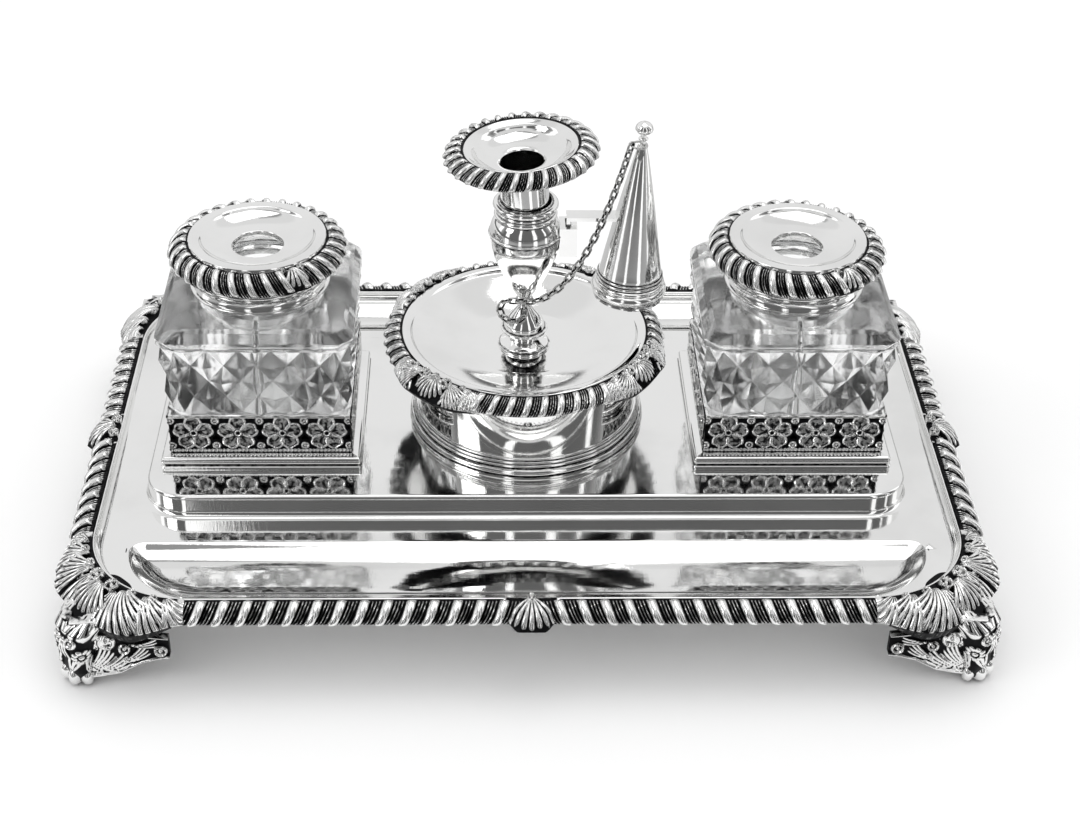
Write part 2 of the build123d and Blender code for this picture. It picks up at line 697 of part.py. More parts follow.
# ------------------------------------------------------------------ nozzle
def make_nozzle():
    """Nozzle in its own frame, Z along its tube from the middle of the engaged length, then leaned."""
    foot_z = -tube_engaged / 2 + tube_seat_gap
    dish_z = tube_engaged / 2 + tube_shown
    tube = turned([(tube_radius - tube_wall, foot_z), (tube_radius, foot_z),
                   (tube_radius, dish_z), (tube_radius - tube_wall, dish_z)])
    rim_z = dish_z + nozzle_dish_rise
    dish = turned([(tube_radius - tube_wall, dish_z), (tube_radius + 2.0, dish_z),
                   (nozzle_dish_radius, rim_z - 2 * nozzle_dish_wall), (nozzle_dish_radius, rim_z),
                   (nozzle_dish_radius - 1.0, rim_z), (tube_radius + 0.2, dish_z + 2 * nozzle_dish_wall),
                   (tube_radius - tube_wall, dish_z + nozzle_dish_wall)])
    border = border_ring(nozzle_dish_radius + solder_gap, nozzle_border_radius, rim_z - nozzle_border_rise,
                         nozzle_border_rise, nozzle_lobes)
    place = stick * Pos(0, 0, urn_top - tube_engaged / 2) * Rot(0, -nozzle_tilt, 0)
    save("nozzle_tube", place * tube)
    save("nozzle_dish", place * dish)
    save("nozzle_border", place * border)


# ------------------------------------------------------------------ extinguisher and chain
cone_tip = cone_foot_rise + cone_rise
cone_place = Pos(cone_x, fittings_y, cone_mouth_z) * Rot(0, cone_lean, 0)
eye_pull = chain_eye_radius - chain_wire / 2 - finial_neck_radius - eye_gap
eye_centre = (cone_place * Pos(-eye_pull, 0, cone_tip + chain_wire / 2 + eye_gap)).position


def cone_outside():
    return turned([(0, 0), (cone_radius, 0), (cone_radius, cone_foot_rise),
                   (cone_tip_radius, cone_tip), (0, cone_tip)])


def cone():
    """Hollow cone in its own frame, Z along its axis from the middle of its mouth."""
    inner = cone_radius - cone_wall
    hollow = turned([(0, 0), (inner, 0), (inner, cone_foot_rise), (0.3, cone_tip - 4 * cone_wall),
                     (0, cone_tip - 4 * cone_wall)])
    return cone_outside() - hollow


def cone_foot():
    return reeded_ring(cone_foot_radius, cone_radius + solder_gap, 0, cone_foot_rise, cone_foot_reeds)


def finial():
    """Ball on a thin neck."""
    neck = Pos(0, 0, cone_tip) * extrude(Circle(finial_neck_radius), finial_neck_rise + finial_radius)
    return neck + Pos(0, 0, cone_tip + finial_neck_rise + finial_radius * 0.9) * Sphere(finial_radius)


def hook():
    """Tongue from the cone to the bracket, bent down into its slot; in the inkstand's frame."""
    tongue_low = bracket_top + hook_lift
    tongue_high = tongue_low + hook_thickness
    start = bracket_middle - hook_thickness / 2
    leg = Box(hook_thickness, hook_width, hook_leg + hook_thickness)
    leg = Pos(bracket_middle, fittings_y, tongue_high - (hook_leg + hook_thickness) / 2) * leg
    tongue = Box(cone_x - start, hook_width, hook_thickness)
    tongue = Pos((cone_x + start) / 2, fittings_y, tongue_high - hook_thickness / 2) * tongue
    return leg + (tongue - cone_place * cone_outside())


def make_extinguisher():
    save("cone", cone_place * cone())
    save("cone_foot", cone_place * cone_foot())
    save("cone_finial", cone_place * finial())
    save("cone_hook", hook())
    eye = Torus(chain_eye_radius, chain_wire / 2)
    save("chain_eye", Pos(*eye_centre) * eye)


def chain_route():
    """Middle line of the chain, from the eye on the cone to the ring round the stem's neck.

    It hangs in a parabola to the front of the neck, then lies in a loose bight on the left of
    the stem and comes up the front to the ring.
    """
    start = Vector(*eye_centre) - Vector(chain_eye_radius, 0, 0)
    neck = Vector(stick_x, fittings_y, neck_height)
    front = neck + Vector(*chain_bight[0])
    shares = [1 - i / chain_fall_steps for i in range(chain_fall_steps)]
    fall = [front + Vector((start.X - front.X) * share, (start.Y - front.Y) * share ** 4,
                           (start.Z - front.Z) * share ** 2) for share in shares]
    end = neck + Vector(0, -chain_ring_radius, chain_ring_rise)
    return Spline(*fall, *[neck + Vector(*point) for point in chain_bight], end)


def link():
    """One oval link lying flat, long way along X."""
    path = SlotOverall(chain_link - chain_wire, chain_link_width - chain_wire).face().outer_wire()
    return sweep(Plane(origin=path @ 0, z_dir=path % 0) * Circle(chain_wire / 2), path=path)


def make_chain():
    route = chain_route()
    free = route.length - eye_grip - ring_grip
    count = 2 * round(free / chain_pitch / 2) + 1
    one = link()
    links = []
    for i in range(count):
        share = (eye_grip + free * i / (count - 1)) / route.length
        along = (route % share).normalized()
        across = along.cross(Vector(0, 0, 1)).normalized()
        flat = across if i % 2 == 0 else along.cross(across)
        links.append(Plane(origin=route @ share, x_dir=along, z_dir=flat) * one)
    save("chain", Compound(links))
    ring = Torus(chain_ring_radius, chain_wire / 2)
    save("chain_neck_ring", stick * Pos(0, 0, neck_height + chain_ring_rise) * ring)


# ------------------------------------------------------------------ the whole inkstand
make_tray()
make_border()
on_corners("corner_shell", corner_piece())
on_corners("foot", foot())
make_wells()
make_drum()
make_stick()
make_nozzle()
make_extinguisher()
make_chain()
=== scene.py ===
"""Dressed model of the desk inkstand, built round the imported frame.

Pieces are modelled in millimetres and brought to metres when they are finished.
+X is right, +Y is the back and +Z is up, with the table at Z = 0.
"""
import math

import bmesh
import bpy
import numpy as np
from mathutils import Matrix, Vector


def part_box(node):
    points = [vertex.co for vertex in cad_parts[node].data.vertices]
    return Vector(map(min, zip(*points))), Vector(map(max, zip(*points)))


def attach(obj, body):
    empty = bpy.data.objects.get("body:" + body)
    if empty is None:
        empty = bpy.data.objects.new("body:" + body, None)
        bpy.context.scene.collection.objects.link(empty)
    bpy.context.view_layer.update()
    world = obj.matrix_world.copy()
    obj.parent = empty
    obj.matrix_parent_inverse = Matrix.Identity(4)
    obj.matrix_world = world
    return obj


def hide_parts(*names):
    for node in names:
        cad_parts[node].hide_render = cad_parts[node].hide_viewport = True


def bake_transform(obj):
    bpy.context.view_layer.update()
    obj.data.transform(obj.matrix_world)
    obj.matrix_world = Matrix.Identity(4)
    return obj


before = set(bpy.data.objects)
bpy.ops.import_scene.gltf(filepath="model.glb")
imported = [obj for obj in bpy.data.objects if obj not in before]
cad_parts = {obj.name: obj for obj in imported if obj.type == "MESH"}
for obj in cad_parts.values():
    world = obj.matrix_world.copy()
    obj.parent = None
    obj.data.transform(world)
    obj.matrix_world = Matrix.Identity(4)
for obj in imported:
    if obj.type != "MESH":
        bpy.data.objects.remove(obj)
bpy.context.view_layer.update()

# ------------------------------------------------------------------ sizes, millimetres
MM = 0.001


def frame_box(node):
    """Lowest and highest corner of a node, in millimetres."""
    low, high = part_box(node)
    return np.array(low) / MM, np.array(high) / MM


def frame_centre(node):
    low, high = frame_box(node)
    return (low + high) / 2


TRAY_X, TRAY_Y = 129.3, 83.2            # half sizes between the inner edges of the rim
TRAY_CORNER = 30.0
RIM_WALL = 0.9
RIM_Z = 29.0
LEDGE_Z = 25.4
SHEET = 1.2
BORDER_WIDTH = 6.8
BORDER_PITCH = 6.9
PLATFORM_Z = frame_box("tray_body")[1][2]
PLATFORM_X = 117.0
PLATFORM_FRONT, PLATFORM_BACK = -40.7, 49.0
PLATFORM_CORNER = 13.0
TROUGH_X = 120.0
TROUGH_LAND = 12.0
TROUGH_MARGIN = 1.3
TROUGH_Z = 22.0
WELL_X = [frame_centre("gallery_band_left")[0], frame_centre("gallery_band_right")[0]]
FITTINGS_Y = frame_centre("drum_wall")[1]
STICK_X = frame_centre("urn")[0]
SIDES = 128                             # facets round a turned piece


# ------------------------------------------------------------------ modelling helpers
def settle(obj, name):
    """Bring a finished piece to metres, with its place in its mesh."""
    if bpy.context.object and bpy.context.object.mode != "OBJECT":
        bpy.ops.object.mode_set(mode="OBJECT")
    bpy.ops.object.select_all(action="DESELECT")
    obj.select_set(True)
    bpy.context.view_layer.objects.active = obj
    bpy.ops.object.transform_apply(location=True, rotation=True, scale=True)
    obj.scale = (MM, MM, MM)
    bpy.ops.object.transform_apply(location=False, rotation=False, scale=True)
    obj.name = name
    obj.data.name = name
    return obj


def begin():
    """Leave nothing selected before a primitive is added."""
    if bpy.context.object and bpy.context.object.mode != "OBJECT":
        bpy.ops.object.mode_set(mode="OBJECT")
    bpy.ops.object.select_all(action="DESELECT")


def smooth(obj, angle=35.0):
    begin()
    obj.select_set(True)
    bpy.context.view_layer.objects.active = obj
    bpy.ops.object.shade_smooth_by_angle(angle=math.radians(angle))


def outward(obj):
    begin()
    obj.select_set(True)
    bpy.context.view_layer.objects.active = obj
    bpy.ops.object.mode_set(mode="EDIT")
    bpy.ops.mesh.select_all(action="SELECT")
    bpy.ops.mesh.normals_make_consistent(inside=False)
    bpy.ops.object.mode_set(mode="OBJECT")


def mesh_object(points, faces):
    """Object from arrays of points and faces."""
    mesh = bpy.data.meshes.new("work")
    mesh.from_pydata(np.asarray(points, float).reshape(-1, 3).tolist(), [], faces)
    obj = bpy.data.objects.new("work", mesh)
    bpy.context.scene.collection.objects.link(obj)
    return obj


def set_recess(obj, values):
    """How deep in shadow each point of a piece lies, 0 to 1: painted shade and the dark oxide gather
    there.
    """
    layer = obj.data.attributes.new("recess", "FLOAT", "POINT")
    layer.data.foreach_set("value", np.clip(np.asarray(values, float).ravel(), 0, 1))


def cavity(obj, full=1.0, spread=1):
    """Recess from the hollows of the mesh itself, which are painted dark as shade and oxide; full is the
    curvature that is quite dark.
    """
    mesh = obj.data
    count = len(mesh.vertices)
    place = np.empty(count * 3)
    mesh.vertices.foreach_get("co", place)
    place = place.reshape(-1, 3)
    normal = np.empty(count * 3)
    mesh.vertices.foreach_get("normal", normal)
    normal = normal.reshape(-1, 3)
    ends = np.empty(len(mesh.edges) * 2, int)
    mesh.edges.foreach_get("vertices", ends)
    a, b = ends.reshape(-1, 2).T
    step = place[b] - place[a]
    length = np.maximum((step ** 2).sum(1), 1e-6)
    hollow = np.zeros(count)
    edges = np.zeros(count)
    np.add.at(hollow, a, (normal[a] * step).sum(1) / length)
    np.add.at(hollow, b, -(normal[b] * step).sum(1) / length)
    np.add.at(edges, a, 1)
    np.add.at(edges, b, 1)
    hollow = np.clip(2 * hollow / np.maximum(edges, 1) / full, 0, 1)
    for _ in range(spread):
        near = np.zeros(count)
        np.maximum.at(near, a, hollow[b])
        np.maximum.at(near, b, hollow[a])
        hollow = np.maximum(hollow, 0.6 * near)
    set_recess(obj, hollow)


def quads(rows, cols, wrap_rows=False, wrap_cols=False):
    """Faces of a grid of points, row by row."""
    faces = []
    for i in range(rows if wrap_rows else rows - 1):
        for j in range(cols if wrap_cols else cols - 1):
            n, m = (i + 1) % rows, (j + 1) % cols
            faces.append((i * cols + j, i * cols + m, n * cols + m, n * cols + j))
    return faces


def flow(points, steps=6):
    """Points along a smooth line that passes through all the given ones."""
    p = np.array(points, float)
    p = np.vstack([2 * p[0] - p[1], p, 2 * p[-1] - p[-2]])
    line = []
    for i in range(1, len(p) - 2):
        for t in np.linspace(0, 1, steps, endpoint=False):
            line.append(0.5 * (2 * p[i] + (p[i + 1] - p[i - 1]) * t
                               + (2 * p[i - 1] - 5 * p[i] + 4 * p[i + 1] - p[i + 2]) * t ** 2
                               + (3 * p[i] - p[i - 1] - 3 * p[i + 1] + p[i + 2]) * t ** 3))
    line.append(p[-2])
    return [tuple(q) for q in line]


def at_height(plan, z):
    """Points of a plan, all put at one height."""
    return np.column_stack([plan[:, :2], np.full(len(plan), z)])


def bend(radius, height, size, start, end, steps=6):
    """Arc of a turned profile, in degrees from straight out."""
    return [(radius + size * math.cos(math.radians(a)), height + size * math.sin(math.radians(a)))
            for a in np.linspace(start, end, steps)]


def turned(profile, sides=SIDES, closed=False):
    """Turned piece: a circle drawn out ring by ring along its profile of (radius, height)."""
    begin()
    radius, height = profile[0]
    bpy.ops.mesh.primitive_circle_add(vertices=sides, radius=max(radius, 0.01), location=(0, 0, height))
    obj = bpy.context.object
    bpy.ops.object.mode_set(mode="EDIT")
    bpy.ops.mesh.select_all(action="SELECT")
    last_radius, last_height = max(radius, 0.01), height
    for radius, height in profile[1:] + (profile[:1] if closed else []):
        radius = max(radius, 0.01)
        grow = radius / last_radius
        bpy.ops.mesh.extrude_region_move(TRANSFORM_OT_translate={"value": (0, 0, height - last_height)})
        bpy.ops.transform.resize(value=(grow, grow, 1), center_override=(0, 0, height))
        last_radius, last_height = radius, height
    bpy.ops.mesh.select_all(action="SELECT")
    bpy.ops.mesh.remove_doubles(threshold=0.002)
    bpy.ops.mesh.normals_make_consistent(inside=False)
    bpy.ops.object.mode_set(mode="OBJECT")
    return obj


def placed(obj, matrix):
    """Move a piece's mesh."""
    obj.data.transform(obj.matrix_basis)
    obj.matrix_basis = Matrix()
    obj.data.transform(matrix)
    return obj


def spun(degrees, axis="Z"):
    return Matrix.Rotation(math.radians(degrees), 4, axis)


def shift(x, y, z=0.0):
    return Matrix.Translation((x, y, z))


def joined(*objects):
    """One object of several."""
    begin()
    for obj in objects:
        obj.select_set(True)
    bpy.context.view_layer.objects.active = objects[0]
    bpy.ops.object.join()
    return objects[0]


def dress(obj, name, body, finish, *nodes):
    """A finished piece: its name, body, finish and the nodes that it stands for."""
    settle(obj, name)
    obj.data.materials.clear()
    obj.data.materials.append(FINISHES[finish])
    if body:
        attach(obj, body)
    if nodes:
        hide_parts(*nodes)
    return obj


def twin(obj, matrix=None):
    """Copy of a piece with its own mesh."""
    copy = obj.copy()
    copy.data = obj.data.copy()
    bpy.context.scene.collection.objects.link(copy)
    if matrix is not None:
        copy.data.transform(matrix)
        if matrix.determinant() < 0:
            copy.data.flip_normals()
    return copy


# ------------------------------------------------------------------ finishes
def new_group(name, inputs, outputs):
    """Node group with named sockets; inputs hold (name, kind, default)."""
    group = bpy.data.node_groups.new(name, "ShaderNodeTree")
    for label, kind, default in inputs:
        socket = group.interface.new_socket(label, in_out="INPUT", socket_type=kind)
        socket.default_value = default
    for label, kind in outputs:
        group.interface.new_socket(label, in_out="OUTPUT", socket_type=kind)
    return group, group.nodes.new("NodeGroupInput"), group.nodes.new("NodeGroupOutput")


def feed(tree, socket, value):
    """Set a socket, or link it where the value is a socket too."""
    if isinstance(value, bpy.types.NodeSocket):
        tree.links.new(value, socket)
    else:
        socket.default_value = value


def object_place(tree):
    return tree.nodes.new("ShaderNodeTexCoord").outputs["Object"]


def maths(tree, operation, *values):
    node = tree.nodes.new("ShaderNodeMath")
    node.operation = operation
    for socket, value in zip(node.inputs, values):
        feed(tree, socket, value)
    return node.outputs[0]


def noise(tree, coordinate, scale, detail=3.0):
    texture = tree.nodes.new("ShaderNodeTexNoise")
    for label, value in (("Detail", detail), ("Vector", coordinate), ("Scale", scale)):
        feed(tree, texture.inputs[label], value)
    return texture.outputs["Fac"]


def ranged(tree, value, low, high, to_low=0.0, to_high=1.0):
    node = tree.nodes.new("ShaderNodeMapRange")
    node.interpolation_type = "SMOOTHSTEP"
    for label, setting in (("Value", value), ("From Min", low), ("From Max", high),
                           ("To Min", to_low), ("To Max", to_high)):
        feed(tree, node.inputs[label], setting)
    return node.outputs["Result"]


def blended(tree, factor, first, second):
    """Colour mix; a colour is a tuple, a grey level or a socket."""
    node = tree.nodes.new("ShaderNodeMix")
    node.data_type = "RGBA"
    tree.links.new(factor, node.inputs["Factor"])
    for socket, colour in ((node.inputs[6], first), (node.inputs[7], second)):
        feed(tree, socket, grey(colour) if isinstance(colour, float) else colour)
    return node.outputs[2]


def grey(level):
    return level, level, level, 1


def new_material(name):
    """Material, its node tree and its Principled shader."""
    material = bpy.data.materials.new(name)
    material.use_nodes = True
    return material, material.node_tree, material.node_tree.nodes["Principled BSDF"]


def tarnish_group():
    """Cloudy film on silver: a colour and a roughness that drift over the surface."""
    group, inside, outside = new_group(
        "tarnish",
        (("Scale", "NodeSocketFloat", 30.0), ("Bright", "NodeSocketColor", (0.9, 0.9, 0.9, 1)),
         ("Dull", "NodeSocketColor", (0.7, 0.7, 0.7, 1)), ("Smooth", "NodeSocketFloat", 0.05),
         ("Rough", "NodeSocketFloat", 0.12)),
        (("Color", "NodeSocketColor"), ("Roughness", "NodeSocketFloat")))
    place = object_place(group)
    clouds = noise(group, place, inside.outputs["Scale"], 5.0)
    film = ranged(group, clouds, 0.42, 0.72)
    group.links.new(blended(group, film, inside.outputs["Bright"], inside.outputs["Dull"]),
                    outside.inputs["Color"])
    group.links.new(ranged(group, clouds, 0.35, 0.7, inside.outputs["Smooth"], inside.outputs["Rough"]),
                    outside.inputs["Roughness"])
    return group


def scratches_group():
    """Height of fine polishing lines that run in two directions."""
    group, inside, outside = new_group(
        "polishing_lines", (("Scale", "NodeSocketFloat", 120.0),), (("Height", "NodeSocketFloat"),))
    place = object_place(group)
    lines = []
    for stretch, turn in (((1, 14, 1), 0.5), ((12, 1, 1), -0.3)):
        mapping = group.nodes.new("ShaderNodeMapping")
        mapping.inputs["Scale"].default_value = stretch
        mapping.inputs["Rotation"].default_value = (0, 0, turn)
        group.links.new(place, mapping.inputs["Vector"])
        lines.append(noise(group, mapping.outputs["Vector"], inside.outputs["Scale"], 2.0))
    group.links.new(maths(group, "MAXIMUM", *lines), outside.inputs["Height"])
    return group


def oxide_and_shade_group():
    """Mask of the dark oxide and the painted shade in the hollows of cast work."""
    group, inside, outside = new_group(
        "oxide_and_shade", (("Depth", "NodeSocketFloat", 0.0), ("Start", "NodeSocketFloat", 0.25),
                  ("End", "NodeSocketFloat", 0.6), ("Grain", "NodeSocketFloat", 700.0)),
        (("Mask", "NodeSocketFloat"),))
    place = object_place(group)
    grain = ranged(group, noise(group, place, inside.outputs["Grain"], 4.0), 0.3, 0.7, -0.14, 0.14)
    total = maths(group, "ADD", inside.outputs["Depth"], grain)
    group.links.new(ranged(group, total, inside.outputs["Start"], inside.outputs["End"]),
                    outside.inputs["Mask"])
    return group


TARNISH = tarnish_group()
SCRATCHES = scratches_group()
OXIDE_AND_SHADE = oxide_and_shade_group()


def use_group(tree, group, **values):
    node = tree.nodes.new("ShaderNodeGroup")
    node.node_tree = group
    for label, value in values.items():
        node.inputs[label].default_value = value
    return node


# Near black painted into the recesses: the oxide there and painted shade.
OXIDE_AND_SHADE_COLOUR = (0.012, 0.012, 0.013, 1)
OXIDE_AND_SHADE_ROUGH = 0.35                      # how much rougher than the silver the oxide and painted shade are


def silver(name, bright, dull, smooth_to, rough_to, line_height, oxide_and_shade):
    """Silver finish, darkened in its recesses by oxide and painted shade; the last argument holds the
    recess values at which the dark begins and is full.
    """
    material, tree, shader = new_material(name)
    shader.inputs["Metallic"].default_value = 1.0
    film = use_group(tree, TARNISH, Scale=26.0, Bright=(*bright, 1), Dull=(*dull, 1),
                     Smooth=smooth_to, Rough=rough_to)
    colour, rough = film.outputs["Color"], film.outputs["Roughness"]
    depth = tree.nodes.new("ShaderNodeAttribute")
    depth.attribute_name = "recess"
    mask = use_group(tree, OXIDE_AND_SHADE, Start=oxide_and_shade[0], End=oxide_and_shade[1])
    tree.links.new(depth.outputs["Fac"], mask.inputs["Depth"])
    # The recess darkens the colour towards near black: oxide, and painted shade in hollows and under the
    # work.
    colour = blended(tree, mask.outputs["Mask"], colour, OXIDE_AND_SHADE_COLOUR)
    rough = maths(tree, "MULTIPLY_ADD", mask.outputs["Mask"], OXIDE_AND_SHADE_ROUGH, rough)
    tree.links.new(colour, shader.inputs["Base Color"])
    tree.links.new(rough, shader.inputs["Roughness"])
    lines = use_group(tree, SCRATCHES, Scale=150.0)
    bump = tree.nodes.new("ShaderNodeBump")
    bump.inputs["Strength"].default_value = line_height
    bump.inputs["Distance"].default_value = 0.0001
    tree.links.new(lines.outputs["Height"], bump.inputs["Height"])
    tree.links.new(bump.outputs["Normal"], shader.inputs["Normal"])
    return material


def glass():
    """Thick lead crystal with faint streaks."""
    material, tree, shader = new_material("cut_glass")
    shader.inputs["Transmission Weight"].default_value = 1.0
    shader.inputs["IOR"].default_value = 1.42
    place = object_place(tree)
    streaks = noise(tree, place, 60.0, 3.0)
    tree.links.new(blended(tree, streaks, (0.985, 0.985, 0.985, 1), (0.95, 0.955, 0.955, 1)),
                   shader.inputs["Base Color"])
    tree.links.new(ranged(tree, streaks, 0.3, 0.8, 0.12, 0.22), shader.inputs["Roughness"])
    ripple = tree.nodes.new("ShaderNodeBump")
    ripple.inputs["Strength"].default_value = 0.06
    ripple.inputs["Distance"].default_value = 0.0006
    tree.links.new(noise(tree, place, 90.0, 2.0), ripple.inputs["Height"])
    tree.links.new(ripple.outputs["Normal"], shader.inputs["Normal"])
    return material


FINISHES = {
    "plain_silver": silver("plain_silver", (0.93, 0.93, 0.925), (0.84, 0.84, 0.835), 0.045, 0.10, 0.10,
                           (0.35, 0.9)),
    "cast_silver": silver("cast_silver", (0.92, 0.92, 0.915), (0.74, 0.74, 0.735), 0.12, 0.24, 0.12,
                          (0.22, 0.55)),
    "chain_silver": silver("chain_silver", (0.6, 0.6, 0.595), (0.36, 0.36, 0.355), 0.16, 0.3, 0.1,
                           (0.1, 0.6)),
    "cut_glass": glass(),
}


# ------------------------------------------------------------------ tray
def rounded_loop(low, high, radii, facets=24):
    """Loop of a rectangle with its own radius at each corner: front right, back right, back left,
    front left. It runs anticlockwise seen from above."""
    x0, y0 = low
    x1, y1 = high
    corners = ((x1, y0, -90, -1, 1), (x1, y1, 0, -1, -1), (x0, y1, 90, 1, -1), (x0, y0, 180, 1, 1))
    loop = []
    for (x, y, start, toward_x, toward_y), radius in zip(corners, radii):
        cx, cy = x + toward_x * radius, y + toward_y * radius
        for a in np.radians(np.linspace(start, start + 90, facets + 1)):
            loop.append((cx + radius * math.cos(a), cy + radius * math.sin(a)))
    return np.array(loop)


def swept_loops(low, high, radii, profile, least=0.25):
    """Loops of a wall that follows the rectangle; profile holds (inset, height)."""
    loops = []
    for inset, height in profile:
        plan = rounded_loop((low[0] + inset, low[1] + inset), (high[0] - inset, high[1] - inset),
                            [max(r - inset, least) for r in radii])
        loops.append(at_height(plan, height))
    return np.array(loops)


def tray_top():
    """Upper face of the tray: rim, ledge, platform and the two pen troughs."""
    rim_profile = ([(-6.2, 25.8), (-1.5, 25.8), (-RIM_WALL - 0.05, 26.1), (-RIM_WALL, 28.3)]
                   + bend(-RIM_WALL / 2, RIM_Z - 0.45, -0.45, 0, -180, 9)[1:-1]
                   + [(0.0, 28.3), (0.02, 28.1)] + bend(2.6, LEDGE_Z + 2.6, 2.6, 180, 270, 10)
                   + [(2.9, LEDGE_Z), (3.2, LEDGE_Z)])
    whole = ((-TRAY_X, -TRAY_Y), (TRAY_X, TRAY_Y), [TRAY_CORNER] * 4)
    platform = ((-PLATFORM_X, PLATFORM_FRONT), (PLATFORM_X, PLATFORM_BACK), [PLATFORM_CORNER] * 4)
    riser = ([(-2.6, LEDGE_Z), (-2.3, LEDGE_Z)] + bend(-2.1, LEDGE_Z + 2.1, 2.1, 270, 360, 8)
             + bend(1.3, PLATFORM_Z - 1.3, 1.3, 180, 90, 8) + [(1.5, PLATFORM_Z), (2.0, PLATFORM_Z)])
    deep = [(0, LEDGE_Z), (0.7, LEDGE_Z - 0.08), (1.5, LEDGE_Z - 0.5), (2.8, LEDGE_Z - 1.3),
            (4.4, LEDGE_Z - 2.1), (6.4, TROUGH_Z + 0.65), (8.6, TROUGH_Z + 0.25), (10.2, TROUGH_Z + 0.08)]
    narrow = [(-0.3, LEDGE_Z)] + flow(deep, 4)
    wide = narrow + [(12.4, TROUGH_Z + 0.01), (14.5, TROUGH_Z)]
    far = TRAY_Y - TROUGH_MARGIN - 1.6
    side = TROUGH_X
    front = ((-side, -far), (side, PLATFORM_FRONT - TROUGH_LAND), [24.0, 5.5, 5.5, 24.0])
    back = ((-side, PLATFORM_BACK + TROUGH_LAND), (side, far), [5.5, 22.0, 22.0, 5.5])
    parts = []
    for area, profile in ((whole, rim_profile), (platform, riser), (front, wide), (back, narrow)):
        loops = swept_loops(*area, profile)
        rows, cols = loops.shape[:2]
        faces = quads(rows, cols, wrap_cols=True)
        if area is not whole:           # the flat top or floor inside the last loop
            faces.append(tuple(range((rows - 1) * cols, rows * cols)))
        parts.append(mesh_object(loops, faces))
    tray = joined(*parts)
    bpy.ops.object.mode_set(mode="EDIT")
    work = bmesh.from_edit_mesh(tray.data)
    for edge in work.edges:
        edge.select = edge.is_boundary and all(abs(v.co.z - LEDGE_Z) < 0.01 for v in edge.verts)
    bmesh.update_edit_mesh(tray.data)
    bpy.ops.mesh.fill(use_beauty=True)
    bpy.ops.mesh.select_all(action="SELECT")
    bpy.ops.mesh.normals_make_consistent(inside=False)
    bpy.ops.object.mode_set(mode="OBJECT")
    if tray.data.polygons[0].normal.z < 0:
        tray.data.flip_normals()
    return tray


def make_tray():
    tray = tray_top()
    smooth(tray, 50)
    thick = tray.modifiers.new("sheet", "SOLIDIFY")
    thick.thickness = SHEET
    thick.offset = -1
    bpy.ops.object.modifier_apply(modifier=thick.name)
    dress(tray, "tray_sheet", "tray", "plain_silver", "tray_body")


# ------------------------------------------------------------------ lobed borders
LOBE = 0.45                             # share of a period that the lobe takes
REEDS = (0.59, 0.74, 0.89)


def step_up(value, low, high):
    """0 below low, 1 above high and smooth between."""
    t = np.clip((value - low) / (high - low), 0, 1)
    return t * t * (3 - 2 * t)


def lobe_pattern(phase, across):
    """Height and recess of lobed work: a wide lobe, then a hollow with fine reeds."""
    p = phase % 1
    lobe = np.clip(1 - ((p - LOBE / 2) / (LOBE / 2)) ** 2, 0, 1)
    height = np.where(p < LOBE, 1.35 * np.sqrt(lobe), -0.75)
    # Painted shade and oxide: the hollow is fully dark and the lobe darkens towards its sides; the reeds
    # are lighter.
    dark = np.where(p < LOBE, np.clip(0.95 - 1.7 * np.sqrt(lobe), 0, 1), 1.0)
    for centre in REEDS:
        reed = np.clip(1 - ((p - centre) / 0.042) ** 2, 0, 1)
        height += 0.8 * np.sqrt(reed)
        dark -= 0.95 * reed
    ends = step_up(across, 0.03, 0.14) * (1 - step_up(across, 0.84, 0.98))
    # A painted dark line of shade along the inner edge, next to the rim.
    dark = np.maximum(dark, 1 - step_up(across, 0.02, 0.09))
    return height * ends - 0.3 * (1 - ends), np.clip(dark, 0, 1)


def carved(points, dark, ring=False):
    """Closed piece from a tube of points along its rows; unless it is a ring, its ends are capped."""
    rows, cols = points.shape[:2]
    faces = quads(rows, cols, wrap_rows=ring, wrap_cols=True)
    if not ring:
        faces += [tuple(range(cols)), tuple(range((rows - 1) * cols, rows * cols))[::-1]]
    piece = mesh_object(points, faces)
    set_recess(piece, dark)
    outward(piece)
    return piece


def lobed_strip(base, out, phase, lean, width, low, rise, size, wrap=False):
    """Lobed moulding along a line: base and out hold its inner edge and outward direction."""
    across = np.linspace(0, 1, 22)
    turn = np.radians(104) * across
    reach = width * (0.05 + 0.93 * np.sin(turn))
    height = low + rise * (0.2 + 0.8 * np.cos(turn))
    bump, dark = lobe_pattern(phase[:, None] + lean * across[None, :] ** 1.3, across[None, :])
    reach = reach[None, :] + np.sin(turn)[None, :] * bump * size
    height = height[None, :] + np.cos(turn)[None, :] * bump * size
    rows = len(base)
    under = np.array([(width * 0.55, low - rise * 0.1), (0.0, low), (0.0, low + rise * 0.8)])
    reach = np.hstack([reach, np.tile(under[:, 0], (rows, 1))])
    height = np.hstack([height, np.tile(under[:, 1], (rows, 1))])
    # The underside and the back of the moulding are painted dark as shade.
    dark = np.hstack([dark, np.tile([0.5, 0.5, 1.0], (rows, 1))])
    points = np.dstack([base[:, None, 0] + out[:, None, 0] * reach,
                        base[:, None, 1] + out[:, None, 1] * reach, height])
    strip = carved(points, dark, wrap)
    smooth(strip, 60)
    return strip


def straight_border(length, offset, turn):
    """Border of one side: its lobes lean to the shell in the middle from both ends."""
    count = int(2 * length / BORDER_PITCH * 40)
    along = np.linspace(-length, length, count)
    base = np.column_stack([along, np.full(count, -offset)])
    out = np.tile([0.0, -1.0], (count, 1))
    periods = round((length - 6.0) / BORDER_PITCH)
    phase = (np.abs(along) - 6.0) / (length - 6.0) * periods
    strip = lobed_strip(base, out, phase, -0.5, BORDER_WIDTH, 24.6, 4.7, 1.0)
    return placed(strip, spun(turn))


